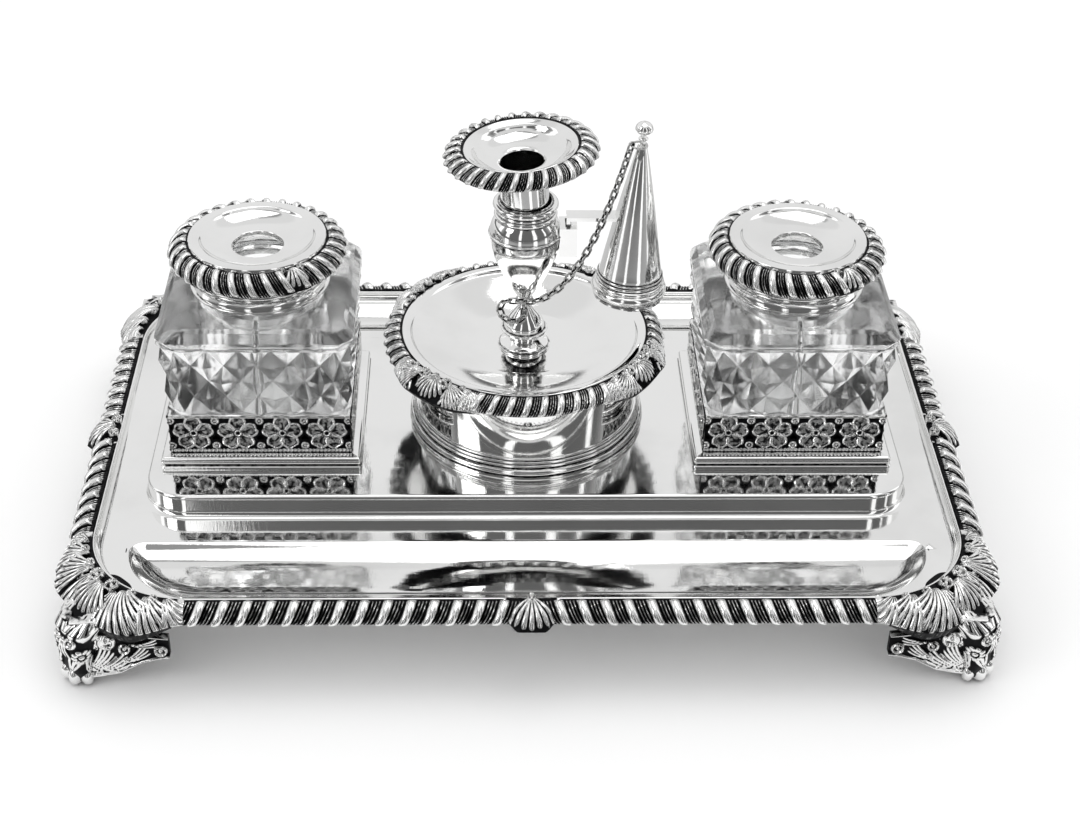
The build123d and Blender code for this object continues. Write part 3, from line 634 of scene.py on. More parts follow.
def ring_border(inner, outer, low, rise, lobes, lean, size):
    """Lobed ring about the Z axis."""
    count = lobes * 30
    angle = np.linspace(0, 2 * math.pi, count, endpoint=False)
    out = np.column_stack([np.cos(angle), np.sin(angle)])
    return lobed_strip(out * inner, out, angle / (2 * math.pi) * lobes, lean, outer - inner,
                       low, rise, size, wrap=True)


# ------------------------------------------------------------------ shells, leaves and scrolls
def fan(x, y, root, heading, reach, spread, flutes, curve=0.0):
    """Fluted shell or leaf: height and recess over a plan, opening from its root to its heading."""
    dx, dy = x - root[0], y - root[1]
    far = np.hypot(dx, dy) / reach
    turn = np.degrees(np.arctan2(dy, dx)) - heading - curve * far
    turn = (turn + 180) % 360 - 180
    u = turn / spread + 0.5
    rib = np.clip(1 - (2 * ((u * flutes) % 1) - 1) ** 2, 0, 1)
    tip = 0.88 + 0.12 * np.sqrt(rib)
    body = np.clip(1 - (far / tip) ** 7, 0, 1) * step_up(far, 0.0, 0.18)
    swell = 0.55 + 0.45 * np.sin(np.pi * np.clip(far, 0, 1) ** 0.8)
    height = body * swell * (0.5 + 0.5 * np.sqrt(rib)) * ((u > 0) & (u < 1))
    # Painted shade and oxide: the flutes between the ribs are dark, and so is the ground round the shape.
    return height, np.where(height > 0.02, 1.12 - 1.35 * rib ** 0.8 * np.sqrt(body), 1.0)


def scroll(x, y, centre, radius):
    """Curled end of a leaf: a rolled edge round a small ball."""
    far = np.hypot(x - centre[0], y - centre[1]) / radius
    height = 1.15 * np.exp(-((far - 0.72) / 0.22) ** 2) + 1.25 * np.exp(-(far / 0.3) ** 2)
    # Painted shade and oxide: the low ground round the roll is dark and its crests light.
    return height, 1.0 - 1.1 * height


def relief(x, y, elements):
    """Highest of several elements at each place; each is (function, size, arguments)."""
    # Where no element rises the ground stays dark: painted shade and oxide.
    height, dark = np.zeros_like(x), np.ones_like(x)
    for shape, size, *arguments in elements:
        h, d = shape(x, y, *arguments)
        h = h * size
        dark = np.where(h > height, d, dark)
        height = np.maximum(height, h)
    return height, np.clip(dark, 0, 1)


def both_sides(elements):
    """Elements and their mirror images across the X axis."""
    mirrored = []
    for shape, size, centre, *rest in elements:
        other = (centre[0], -centre[1])
        if shape is fan:
            heading, reach, spread, flutes, *more = rest
            curve = [-bow for bow in more]
            mirrored.append((shape, size, other, -heading, reach, spread, flutes, *curve))
        else:
            mirrored.append((shape, size, other, *rest))
    return elements + mirrored


def arc_relief(inner, width, edge, half, top, fall, drop, elements, lift, cells=(220, 52)):
    """Carved piece along an arc about the Z axis, centred on +X.

    width and edge are its breadth in the middle and at its ends, half is its half angle, top the
    height of its inner edge, fall how much its face drops to the outer edge and drop its thickness.
    """
    angle = np.linspace(-half, half, cells[0])[:, None]
    share = np.abs(angle) / half
    breadth = edge + (width - edge) * (1 - step_up(share, 0.42, 1.0))
    a = np.linspace(0, 1, cells[1])[None, :]
    face = np.clip(a / 0.86, 0, 1)
    skirt = np.clip((a - 0.86) / 0.14, 0, 1)
    t = breadth * face
    radius = inner + t
    x = radius * np.cos(np.radians(angle))
    y = radius * np.sin(np.radians(angle))
    height, dark = relief(x, y, elements)
    height = height * lift * (1 - 0.45 * step_up(share, 0.9, 1.0))
    middle = 1 - step_up(share, 0.5, 1.0)
    fall = 4.1 + (fall - 4.1) * middle
    drop = 0.9 + (drop - 0.9) * middle
    slope = 2 * fall * face / breadth
    nr = np.sin(np.arctan(slope))
    nz = np.cos(np.arctan(slope))
    z = top - fall * face ** 2 + nz * height - drop * skirt
    radius = radius + nr * height - 0.12 * breadth * skirt
    # The outer drop and the back are painted dark as shade under the carved face; the dark fades out
    # towards the ends.
    dark = np.where(skirt > 0, np.maximum(dark, 0.6), dark) * (1 - 0.8 * step_up(share, 0.84, 0.96))
    points = np.dstack([radius * np.cos(np.radians(angle)), radius * np.sin(np.radians(angle)), z])
    back = np.dstack([inner * np.cos(np.radians(angle)), inner * np.sin(np.radians(angle)),
                      top - fall - drop * 0.8])
    piece = carved(np.concatenate([points, back], axis=1), np.hstack([dark, np.ones((cells[0], 1))]))
    smooth(piece, 60)
    return piece


def make_borders():
    for name, length, offset, turn in (("front", TRAY_X - TRAY_CORNER, TRAY_Y + RIM_WALL, 0),
                                       ("right", TRAY_Y - TRAY_CORNER, TRAY_X + RIM_WALL, 90),
                                       ("back", TRAY_X - TRAY_CORNER, TRAY_Y + RIM_WALL, 180),
                                       ("left", TRAY_Y - TRAY_CORNER, TRAY_X + RIM_WALL, 270)):
        dress(straight_border(length, offset, turn), f"gadroon_{name}", "tray", "cast_silver",
              f"border_{name}")
        shell = side_shell(scrolls=turn in (90, 270))
        placed(shell, spun(turn - 90) @ shift(offset - 200.0, 0))
        dress(shell, f"scallop_{name}", "tray", "cast_silver", f"shell_{name}")


def side_shell(scrolls):
    """Small shell in the middle of a side, 200 mm out so that its arc is nearly straight."""
    elements = [(fan, 1.0, (200.6, 0.0), 0, 9.6, 112, 7)]
    if scrolls:
        elements += [(scroll, 0.8, (201.0, 3.6), 1.9), (scroll, 0.8, (201.0, -3.6), 1.9)]
    else:
        elements += [(scroll, 0.9, (200.9, 0.0), 1.5)]
    half = math.degrees(8.2 / 205)
    return arc_relief(199.9, 10.2, 4.6, half, 29.2, 4.2, 1.2, elements, 2.0, (110, 52))


def make_corners():
    inner = TRAY_CORNER + RIM_WALL

    def rim_point(angle, out):
        a = math.radians(angle)
        return (inner + out) * math.cos(a), (inner + out) * math.sin(a)

    elements = [(fan, 1.0, (inner + 2.2, 0.0), 0, 10.6, 104, 8)]
    elements += both_sides([
        (scroll, 1.05, rim_point(6.0, 2.6), 2.2),
        (fan, 0.5, rim_point(9, 2.0), 12, 12.0, 60, 5),
        (fan, 0.95, rim_point(13, 0.6), 34, 14.4, 78, 7, 30.0),
        (scroll, 0.7, rim_point(17.5, 2.0), 1.5),
        (fan, 0.5, rim_point(20, 2.0), 26, 11.0, 64, 5),
        (fan, 0.82, rim_point(25, 0.4), 50, 12.6, 74, 6, 26.0),
        (fan, 0.45, rim_point(31, 1.4), 34, 9.4, 66, 5),
        (scroll, 0.65, rim_point(29.5, 1.8), 1.4),
        (fan, 0.75, rim_point(35, 0.2), 62, 10.2, 70, 5, 24.0),
        (fan, 0.45, rim_point(41, 0.8), 46, 7.4, 70, 5)])
    corner = arc_relief(inner, 12.6, BORDER_WIDTH, 45, 29.3, 6.0, 3.6, elements, 2.2, (420, 70))
    for name, turn, x, y in (("front_right", -45, 1, -1), ("back_right", 45, 1, 1),
                             ("back_left", 135, -1, 1), ("front_left", -135, -1, -1)):
        place = shift(x * (TRAY_X - TRAY_CORNER), y * (TRAY_Y - TRAY_CORNER)) \
            @ spun(turn)
        dress(twin(corner, place), f"corner_{name}", "tray", "cast_silver", f"corner_shell_{name}")
    bpy.data.objects.remove(corner)


# ------------------------------------------------------------------ feet
PAW = (132.05, -85.95)                  # place of a leg's axis
PAW_INWARD = (-1.4, 2.6)                # from there to the middle of the toes
WING_LENGTH = 27.5


def ball(place, size):
    """Rounded lump: a sphere stretched to its three half sizes."""
    begin()
    bpy.ops.mesh.primitive_uv_sphere_add(segments=28, ring_count=14, radius=1, location=place)
    obj = bpy.context.object
    obj.scale = size
    bpy.ops.object.transform_apply(location=True, rotation=True, scale=True)
    return obj


def toe(angle):
    """One toe, painted dark as shade at both sides and underneath, with a round knuckle."""
    piece = ball((0, 0, 0), (3.7, 2.3, 3.4))
    place = np.array([v.co[:] for v in piece.data.vertices])
    # Painted shade: the sides and the underside of the toe are dark.
    set_recess(piece, step_up(np.abs(place[:, 1]), 1.6, 2.3) + step_up(-place[:, 2], 1.8, 2.9))
    a = math.radians(angle)
    placed(piece, shift(3.5 * math.cos(a), 3.5 * math.sin(a), 3.4) @ Matrix.Rotation(a, 4, "Z"))
    return piece


def leg():
    """Leg of a foot, with a scalloped top, a shield and two rosettes; +X is outwards."""
    heights = np.linspace(3.2, 26.4, 96)
    spin = np.radians(np.linspace(-180, 180, 121)[:-1])
    size = np.interp(heights, (3.2, 6, 10, 15, 20, 24.0, 26.4), (4.4, 5.0, 5.3, 6.0, 6.9, 7.2, 6.0))
    back = np.interp(heights, (3.2, 8, 15, 20.5, 24.0, 26.4), (2.6, 1.8, 2.4, 4.4, 8.6, 13.5))
    angle, z = np.meshgrid(spin, heights)
    round_off = (np.abs(np.cos(angle)) ** 3.2 + np.abs(np.sin(angle)) ** 3.2) ** (-1 / 3.2)
    radius = size[:, None] * round_off
    u = np.degrees(angle) / 90 * 9.0
    elements = both_sides([
        (fan, 1.0, (26.8, 3.4), 180, 8.4, 74, 4), (fan, 1.0, (26.8, 9.4), 180, 9.6, 74, 4),
        (rosette, 1.0, (13.0, 5.6), 3.2), (rosette, 1.0, (16.4, 11.6), 2.8),
        (scroll, 0.8, (17.6, 2.2), 1.9),
        (fan, 0.9, (6.4, 2.2), 16, 6.0, 54, 3), (fan, 0.9, (5.4, 6.8), 24, 7.4, 60, 4),
        (fan, 0.8, (9.0, 10.4), 20, 6.0, 60, 4)]) + [(fan, 0.9, (19.4, 0.0), 180, 8.4, 44, 3)]
    # The ground between the ornaments and their hollows come out dark: painted shade and oxide.
    height, dark = relief(z, u, elements)
    front = step_up(np.cos(angle), -0.2, 0.3)
    radius = radius + height * 0.9 * front
    points = np.dstack([radius * np.cos(angle) - back[:, None], radius * np.sin(angle), z])
    rows, cols = points.shape[:2]
    faces = quads(rows, cols, wrap_cols=True)
    faces += [tuple(range(cols))[::-1], tuple(range((rows - 1) * cols, rows * cols))]
    piece = mesh_object(points, faces)
    set_recess(piece, dark)
    outward(piece)
    return piece


def rosette(x, y, centre, radius):
    """Small daisy with a button in the middle."""
    dx, dy = x - centre[0], y - centre[1]
    far = np.hypot(dx, dy) / radius
    petal = np.clip(1 - (2 * ((np.arctan2(dy, dx) / (2 * math.pi) * 9) % 1) - 1) ** 2, 0, 1)
    body = np.clip(1 - (far / (0.85 + 0.15 * np.sqrt(petal))) ** 6, 0, 1)
    button = np.exp(-(far / 0.26) ** 4)
    height = np.maximum(body * (0.35 + 0.5 * np.sqrt(petal)) * step_up(far, 0.25, 0.5), button)
    crest = np.maximum(np.sqrt(petal) * body * step_up(far, 0.3, 0.5), button)
    # Painted shade and oxide: the ground between the petals is dark, their crests and the button light.
    return height, np.where(height > 0.05, 1.0 - 1.3 * crest, 1.0)


def wing():
    """Leaf of a foot along +X, from the leg to the scroll at its end; +Z is up, outwards is -Y."""
    along = np.linspace(0, 1, 110)[:, None]
    up = np.linspace(0, 1, 44)[None, :]
    x = WING_LENGTH * along
    low = np.interp(x, (0, 8, 13, 19, 24, WING_LENGTH), (2.6, 3.9, 5.1, 8.7, 10.2, 10.7))
    high = np.interp(x, (0, 9, 13.6, 21, WING_LENGTH), (24.4, 24.4, 20.4, 18.6, 17.8))
    z = low + (high - low) * up
    elements = [(fan, 0.9, (1.0, 5.0), 16, 13.0, 34, 5, 26.0),
                (fan, 1.0, (4.0, 4.6), 12, 13.5, 26, 4, 14.0),
                (fan, 0.9, (13.0, 8.6), 20, 10.0, 30, 4, 12.0),
                (fan, 0.8, (3.0, 21.0), -30, 9.0, 40, 4, -20.0),
                (scroll, 1.0, (9.6, 16.4), 3.0),
                (scroll, 0.9, (14.6, 13.8), 2.0),
                (scroll, 1.1, (25.0, 13.2), 2.2),
                (fan, 0.8, (15.5, 15.5), -8, 9.0, 24, 3, 10.0),
                (fan, 0.8, (5.0, 13.0), 62, 9.0, 30, 3, -30.0)]
    height, dark = relief(x + 0 * z, z, elements)
    rim = np.maximum(step_up(up, 0.9, 0.97), step_up(1 - up, 0.92, 0.98)) + 0 * z
    height = np.maximum(height, 0.8 * rim)
    # The rim is kept light, and the inner face is painted dark as shade.
    dark = np.where(rim > 0.5, 0.15, dark)
    out = np.dstack([x + 0 * z, -0.5 - 1.2 * height, z])
    inner = np.dstack([x + 0 * z, 1.4 + 0 * z, z])[:, ::-1]
    dark = np.hstack([np.clip(dark, 0, 1), np.full(dark.shape, 0.6)])
    return carved(np.concatenate([out, inner], axis=1), dark)


def make_feet():
    """The foot of the front right corner, and its copies on the other three."""
    parts = [placed(leg(), spun(-45))]
    parts += [placed(toe(-45 + spread), shift(*PAW_INWARD)) for spread in (-63, -21, 21, 63)]
    heel = ball((*PAW_INWARD, 3.6), (4.4, 4.4, 3.6))
    # The whole heel is painted dark as shade.
    set_recess(heel, np.ones(len(heel.data.vertices)))
    parts.append(heel)
    front_wing = wing()
    side_wing = twin(front_wing, shift(1.2, 0) @ spun(90))
    placed(front_wing, shift(0, -1.2) @ Matrix.Scale(-1, 4, (1, 0, 0)))
    front_wing.data.flip_normals()
    foot = joined(*parts, front_wing, side_wing)
    vertices = foot.data.vertices
    place = np.empty(len(vertices) * 3)
    vertices.foreach_get("co", place)
    place[2::3] = np.maximum(place[2::3], 0.0)
    vertices.foreach_set("co", place)
    smooth(foot, 60)
    placed(foot, shift(*PAW))
    for name, x, y in (("front_left", -1, 1), ("back_right", 1, -1), ("back_left", -1, -1)):
        copy = twin(foot, Matrix.Diagonal((x, y, 1, 1)))
        dress(copy, f"paw_{name}", "tray", "cast_silver", f"foot_{name}")
    dress(foot, "paw_front_right", "tray", "cast_silver", "foot_front_right")


# ------------------------------------------------------------------ galleries
FLOWER_PITCH = 13.6
BAND_WIDTH = 55.4


def flower(x, y):
    """Flower of the pierced band: five heart shaped petals with raised edges and a ringed eye."""
    height, dark = np.zeros_like(x), np.ones_like(x)
    for k in range(5):
        a = math.radians(90 + 72 * k)
        p = x * math.cos(a) + y * math.sin(a)
        q = -x * math.sin(a) + y * math.cos(a)
        e = np.hypot((p - 3.75) / 2.95, q / 2.75) + 0.5 * np.exp(-((p - 6.9) ** 2 + q ** 2) / 0.8)
        edge = np.exp(-((e - 0.86) / 0.15) ** 2)
        vein = 0.4 * np.exp(-(q / 0.28) ** 2) * step_up(p, 0.8, 1.6) * (1 - step_up(p, 3.2, 4.4))
        h = np.where(e < 1.25, np.maximum(edge, vein), 0)
        dark = np.where(h > height, 1 - 1.15 * h, dark)
        height = np.maximum(height, h)
        # Painted shade: the cups of the petals are half dark, and the ground round the flower stays dark
        # for the piercings of the band.
        cup = np.where(e < 0.8, 0.18, 0)
        dark = np.where((cup > 0) & (h < 0.2), np.minimum(dark, 0.42), dark)
        height = np.maximum(height, cup)
    for cx, cy in ((6.8, 4.6), (-6.8, 4.6), (6.8, -4.6), (-6.8, -4.6)):
        curl, shade = scroll(x, y, (cx, cy), 1.4)
        dark = np.where(curl > height, shade, dark)
        height = np.maximum(height, 0.8 * curl)
    far = np.hypot(x, y)
    eye = np.exp(-((far - 0.95) / 0.33) ** 2)
    height = np.where(far < 1.5, eye, height)
    return height, np.where(far < 1.5, 1 - 1.2 * eye, dark)


def band_side(width, low, high):
    """Outer face of one side of a gallery's band, facing -Y."""
    x = np.linspace(-width / 2, width / 2, 231)[None, :]
    z = np.linspace(low, high, 56)[:, None]
    middle = (low + high) / 2 + 0.5
    near = x / FLOWER_PITCH
    local = (near - np.floor(near) - 0.5) * FLOWER_PITCH
    height, dark = flower(local + 0 * z, z - middle + 0 * x)
    bead = (z < low + 1.7) + 0 * x > 0
    beads = 0.5 + 0.5 * np.cos(x / 1.15 * 2 * math.pi) + 0 * z
    row = np.clip(1 - ((z - low - 0.85) / 0.8) ** 2, 0, 1)
    height = np.where(bead, row * (0.5 + 0.5 * beads), height)
    # Painted shade and oxide: dark between the beads; the lip along the top is kept light.
    dark = np.where(bead, 1 - 1.3 * height, dark)
    lip = (z > high - 0.7) + 0 * x > 0
    height = np.where(lip, 1.0, height)
    dark = np.where(lip, 0.0, dark)
    points = np.dstack([x + 0 * z, -width / 2 - 0.6 * height, z + 0 * x])
    side = mesh_object(points, quads(*points.shape[:2]))
    set_recess(side, dark)
    return side


def make_galleries():
    low, high = frame_box("gallery_band_left")
    base_low, base_high = frame_box("gallery_base_left")
    breadth = base_high[0] - base_low[0]
    profile = ([(3.4, 36.5), (3.2, 36.5), (2.9, 36.4), (1.5, 36.1)] + bend(1.5, 34.7, -1.4, -90, 60, 10)
               + [(0.9, 33.3), (1.1, 33.1), (0.2, 33.1), (0.0, 32.9), (0.0, 32.62)])
    plan = ((-breadth / 2, -breadth / 2), (breadth / 2, breadth / 2), [1.2] * 4)
    base = swept_loops(*plan, profile[::-1] + [(3.6, 36.5), (3.9, 36.5), (3.9, 32.7)])
    rows, cols = base.shape[:2]
    step = mesh_object(base, quads(rows, cols, wrap_cols=True))
    outward(step)
    cavity(step, 1.4)
    smooth(step, 40)
    sides = [placed(band_side(BAND_WIDTH, low[2], high[2]), spun(90 * turn)) for turn in range(4)]
    wall = swept_loops((-BAND_WIDTH / 2, -BAND_WIDTH / 2), (BAND_WIDTH / 2, BAND_WIDTH / 2), [0.3] * 4,
                       [(0.0, low[2]), (0.0, high[2]), (0.7, high[2]), (0.7, low[2])])
    core = mesh_object(wall, quads(*wall.shape[:2], wrap_rows=True, wrap_cols=True))
    outward(core)
    set_recess(core, np.full(len(core.data.vertices), 0.0))
    band = joined(*sides, core)
    smooth(band, 50)
    for side, x in zip(("left", "right"), WELL_X):
        dress(twin(step, shift(x, FITTINGS_Y)), f"gallery_step_{side}", "tray", "plain_silver",
              f"gallery_base_{side}")
        dress(twin(band, shift(x, FITTINGS_Y)), f"flower_band_{side}", "tray", "cast_silver",
              f"gallery_band_{side}")
    for obj in (step, band):
        bpy.data.objects.remove(obj)


# ------------------------------------------------------------------ glass inkwells
DIAMOND_W, DIAMOND_H, DIAMOND_DEPTH = 10.3, 11.6, 1.9


def glass_columns(half):
    """Points round a square with flattened corners: nine to a side and three to a corner."""
    flat = half - 4.6
    line = [(i * DIAMOND_W / 2, -half, 1.0) for i in range(-4, 5)]
    corner = [(flat, -half, 0.7), ((flat + half) / 2, -(flat + half) / 2, 0.9), (half, -flat, 0.7)]
    loop = []
    for turn in range(4):
        a = math.radians(90 * turn)
        for x, y, depth in line + corner:
            loop.append((x * math.cos(a) - y * math.sin(a), x * math.sin(a) + y * math.cos(a), depth))
    return np.array(loop)


def glass_body():
    """Cut body of a well: diamonds, shoulder, neck and the hollow for the ink."""
    loops = [at_height(glass_columns(half), z) for half, z in ((26.6, 33.0), (26.6, 50.1), (28.0, 50.5))]
    for j in range(5):
        share = j / 4
        ring = glass_columns(28.2 + 1.5 * share)
        low = (np.arange(len(ring)) + j) % 2 == 1
        inward = DIAMOND_DEPTH * ring[:, 2] * low
        length = np.maximum(np.abs(ring[:, 0]), np.abs(ring[:, 1]))
        ring[:, :2] *= (1 - inward / length)[:, None]
        loops.append(at_height(ring, 50.9 + 2 * DIAMOND_H * share))
    loops += [at_height(glass_columns(half), z)
              for half, z in ((29.75, 74.6), (29.0, 75.0), (29.0, 75.7), (29.8, 76.3))]
    loops = np.array(loops)
    rows, cols = loops.shape[:2]
    faces = []
    for i in range(rows - 1):
        for j in range(cols):
            k = (j + 1) % cols
            quad = (i * cols + j, i * cols + k, (i + 1) * cols + k, (i + 1) * cols + j)
            row = i - 3
            if 0 <= row < 4:
                if (j + row) % 2:
                    faces += [(quad[0], quad[1], quad[2]), (quad[0], quad[2], quad[3])]
                else:
                    faces += [(quad[0], quad[1], quad[3]), (quad[1], quad[2], quad[3])]
            else:
                faces.append(quad)
    faces.append(tuple(range(cols))[::-1])
    outer = mesh_object(loops, faces)
    shoulder = [(29.7, 77.4, 5.4), (27.9, 80.0, 6.4), (26.6, 80.9, 7.6), (23.4, 81.9, 10.0),
                (18.4, 82.3, 16.0)]
    neck = ((17.0, 83.0), (17.0, 85.6), (16.6, 86.1), (12.4, 86.1), (12.0, 85.7), (12.0, 77.6),
            (12.6, 76.3), (14.4, 75.7), (17.4, 75.0), (18.8, 73.4), (19.0, 71.5), (19.0, 45.4),
            (18.4, 43.2), (16.4, 41.8), (14.0, 41.6))
    upper = []
    for half, z, radius in shoulder + [(half, z, half) for half, z in neck]:
        plan = rounded_loop((-half, -half), (half, half), [radius] * 4, 23)
        upper.append(at_height(plan, z))
    upper = np.array(upper)
    rows, cols = upper.shape[:2]
    faces = quads(rows, cols, wrap_cols=True)
    faces.append(tuple(range((rows - 1) * cols, rows * cols)))
    inner = mesh_object(upper, faces)
    well = joined(outer, inner)
    bpy.ops.object.mode_set(mode="EDIT")
    bpy.ops.mesh.select_mode(type="EDGE")
    bpy.ops.mesh.select_all(action="DESELECT")
    bpy.ops.mesh.select_non_manifold(extend=False, use_wire=False, use_boundary=True,
                                     use_multi_face=False, use_non_contiguous=False, use_verts=False)
    bpy.ops.mesh.bridge_edge_loops()
    bpy.ops.mesh.select_all(action="SELECT")
    bpy.ops.mesh.normals_make_consistent(inside=False)
    bpy.ops.object.mode_set(mode="OBJECT")
    begin()
    well.select_set(True)
    bpy.context.view_layer.objects.active = well
    bevel = well.modifiers.new("soft_edges", "BEVEL")
    bevel.width = 0.16
    bevel.segments = 2
    bevel.limit_method = "ANGLE"
    bevel.angle_limit = math.radians(14)
    bpy.ops.object.modifier_apply(modifier=bevel.name)
    smooth(well, 24)
    return well


def make_wells():
    well = glass_body()
    collar = turned([(17.2, 81.9), (20.9, 81.75)] + bend(20.9, 82.35, 0.6, -80, 80, 6)
                    + [(20.6, 83.1), (20.1, 84.2), (20.0, 85.3), (20.3, 86.4), (20.9, 87.0)]
                    + bend(21.0, 87.6, 0.52, -80, 80, 6) + bend(21.2, 88.65, 0.52, -80, 80, 6)
                    + bend(21.5, 89.7, 0.52, -80, 80, 6)
                    + [(21.7, 90.3), (22.8, 90.5), (23.0, 91.1), (17.2, 91.1)], closed=True)
    cavity(collar, 1.5)
    smooth(collar, 40)
    dish = turned([(7.8, 92.5), (7.8, 94.0)] + bend(8.2, 94.1, -0.4, 0, -90, 4)[1:]
                  + flow([(8.6, 94.5), (11.5, 94.75), (14.5, 95.5), (16.6, 96.5), (17.5, 97.35)], 4)
                  + [(17.75, 97.55), (18.1, 97.62), (20.3, 97.68), (20.75, 97.6), (20.95, 97.3),
                     (20.9, 95.5), (21.4, 94.6), (22.2, 91.5), (22.0, 91.15), (16.8, 91.15),
                     (16.8, 87.0), (16.0, 87.0),
                     (16.0, 91.6), (12.0, 92.0)], closed=True)
    cavity(dish, 2.5)
    smooth(dish, 40)
    ring = ring_border(20.6, 26.6, 91.2, 5.6, 30, -0.6, 0.72)
    motif = arc_relief(20.7, 6.3, 5.0, 17, 96.3, 3.0, 2.2,
                       [(fan, 1.0, (21.2, 0.0), 0, 6.2, 92, 5), (scroll, 0.8, (21.9, 3.0), 1.2),
                        (scroll, 0.8, (21.9, -3.0), 1.2)], 1.7, (70, 34))
    placed(motif, spun(-58))
    ring = joined(ring, motif)
    for side, x in zip(("left", "right"), WELL_X):
        place = shift(x, FITTINGS_Y)
        dress(twin(well, place), f"crystal_well_{side}", f"inkwell_{side}", "cut_glass",
              f"glass_well_{side}")
        dress(twin(collar, place), f"mount_{side}", f"inkwell_{side}", "plain_silver",
              f"neck_collar_{side}")
        dress(twin(dish, place), f"drip_dish_{side}", f"ink_top_{side}", "plain_silver",
              f"ink_dish_{side}")
        dress(twin(ring, place), f"drip_border_{side}", f"ink_top_{side}", "cast_silver",
              f"dish_border_{side}")
    for obj in (well, collar, dish, ring):
        bpy.data.objects.remove(obj)


# ------------------------------------------------------------------ drum and taper stick
def make_drum():
    wall = turned([(33.4, 32.8), (34.6, 32.8), (34.6, 33.2), (34.6, 61.4), (34.4, 61.9), (33.4, 61.9)],
                  closed=True)
    smooth(wall, 40)
    dress(placed(wall, shift(0, FITTINGS_Y)), "drum_shell", "tray", "plain_silver", "drum_wall")
    moulding = turned([(34.4, 32.62), (37.0, 32.62), (37.3, 32.9), (37.3, 33.4)]
                      + bend(36.1, 34.6, 1.15, -70, 75, 10) + bend(35.5, 36.35, 0.55, -70, 80, 6)
                      + bend(35.2, 37.55, 0.5, -75, 80, 6) + bend(34.9, 38.6, 0.4, -75, 90, 6)
                      + [(34.4, 39.0)], closed=True)
    cavity(moulding, 1.4)
    smooth(moulding, 40)
    dress(placed(moulding, shift(0, FITTINGS_Y)), "drum_foot_reeds", "tray", "plain_silver",
          "drum_moulding")


PAN_FLOOR, PAN_RIM = 58.6, 64.6
NECK_RISE = 16.3                        # from the pan's floor to the thinnest place of the stem


def make_pan():
    axis = shift(STICK_X, FITTINGS_Y)
    upper = flow([(0.01, PAN_FLOOR), (9.0, PAN_FLOOR), (16.0, PAN_FLOOR + 0.06), (19.0, PAN_FLOOR + 0.5),
                  (24.0, PAN_FLOOR + 1.9), (29.0, PAN_FLOOR + 3.5), (33.0, PAN_RIM - 1.35),
                  (34.8, PAN_RIM - 0.95)], 8)
    dish = turned(upper + [(35.2, PAN_RIM - 0.6), (35.5, PAN_RIM - 0.1), (36.1, PAN_RIM + 0.2),
                           (37.6, PAN_RIM + 0.2), (38.1, PAN_RIM), (38.2, PAN_RIM - 0.6), (38.2, 62.1),
                           (31.4, 62.05), (24.0, 58.8), (18.0, 57.6), (0.01, 57.5)], 160)
    outward(dish)
    smooth(dish, 40)
    dress(placed(dish, axis), "drip_pan", "taper_stick", "plain_silver", "pan")
    ring = ring_border(37.9, 43.5, 60.2, 4.4, 52, 0.45, 0.6)
    dress(placed(ring, axis), "pan_gadroon", "taper_stick", "cast_silver", "pan_border")
    elements = [(fan, 1.0, (38.9, 0.0), 0, 6.8, 120, 8), (scroll, 1.0, (39.6, 0.0), 1.4)]
    elements += both_sides([(scroll, 0.95, (39.7, 4.4), 1.9),
                            (fan, 0.9, (38.4, 6.0), 30, 8.6, 76, 8, 26.0),
                            (fan, 0.6, (39.0, 8.4), 14, 7.0, 84, 6),
                            (fan, 0.8, (37.4, 10.4), 48, 8.0, 70, 7, 24.0),
                            (fan, 0.8, (36.6, 13.2), 30, 7.4, 84, 6),
                            (fan, 0.6, (35.4, 16.0), 44, 6.0, 84, 5),
                            (scroll, 0.6, (38.0, 9.6), 1.1)])
    motif = arc_relief(38.2, 7.6, 5.0, 24, 64.2, 3.6, 1.6, elements, 1.9, (220, 48))
    motifs = [twin(motif, spun(angle)) for angle in (-133, -32, 50, 140)]
    bpy.data.objects.remove(motif)
    dress(placed(joined(*motifs), axis), "pan_leaves", "taper_stick", "cast_silver", "pan_shells")


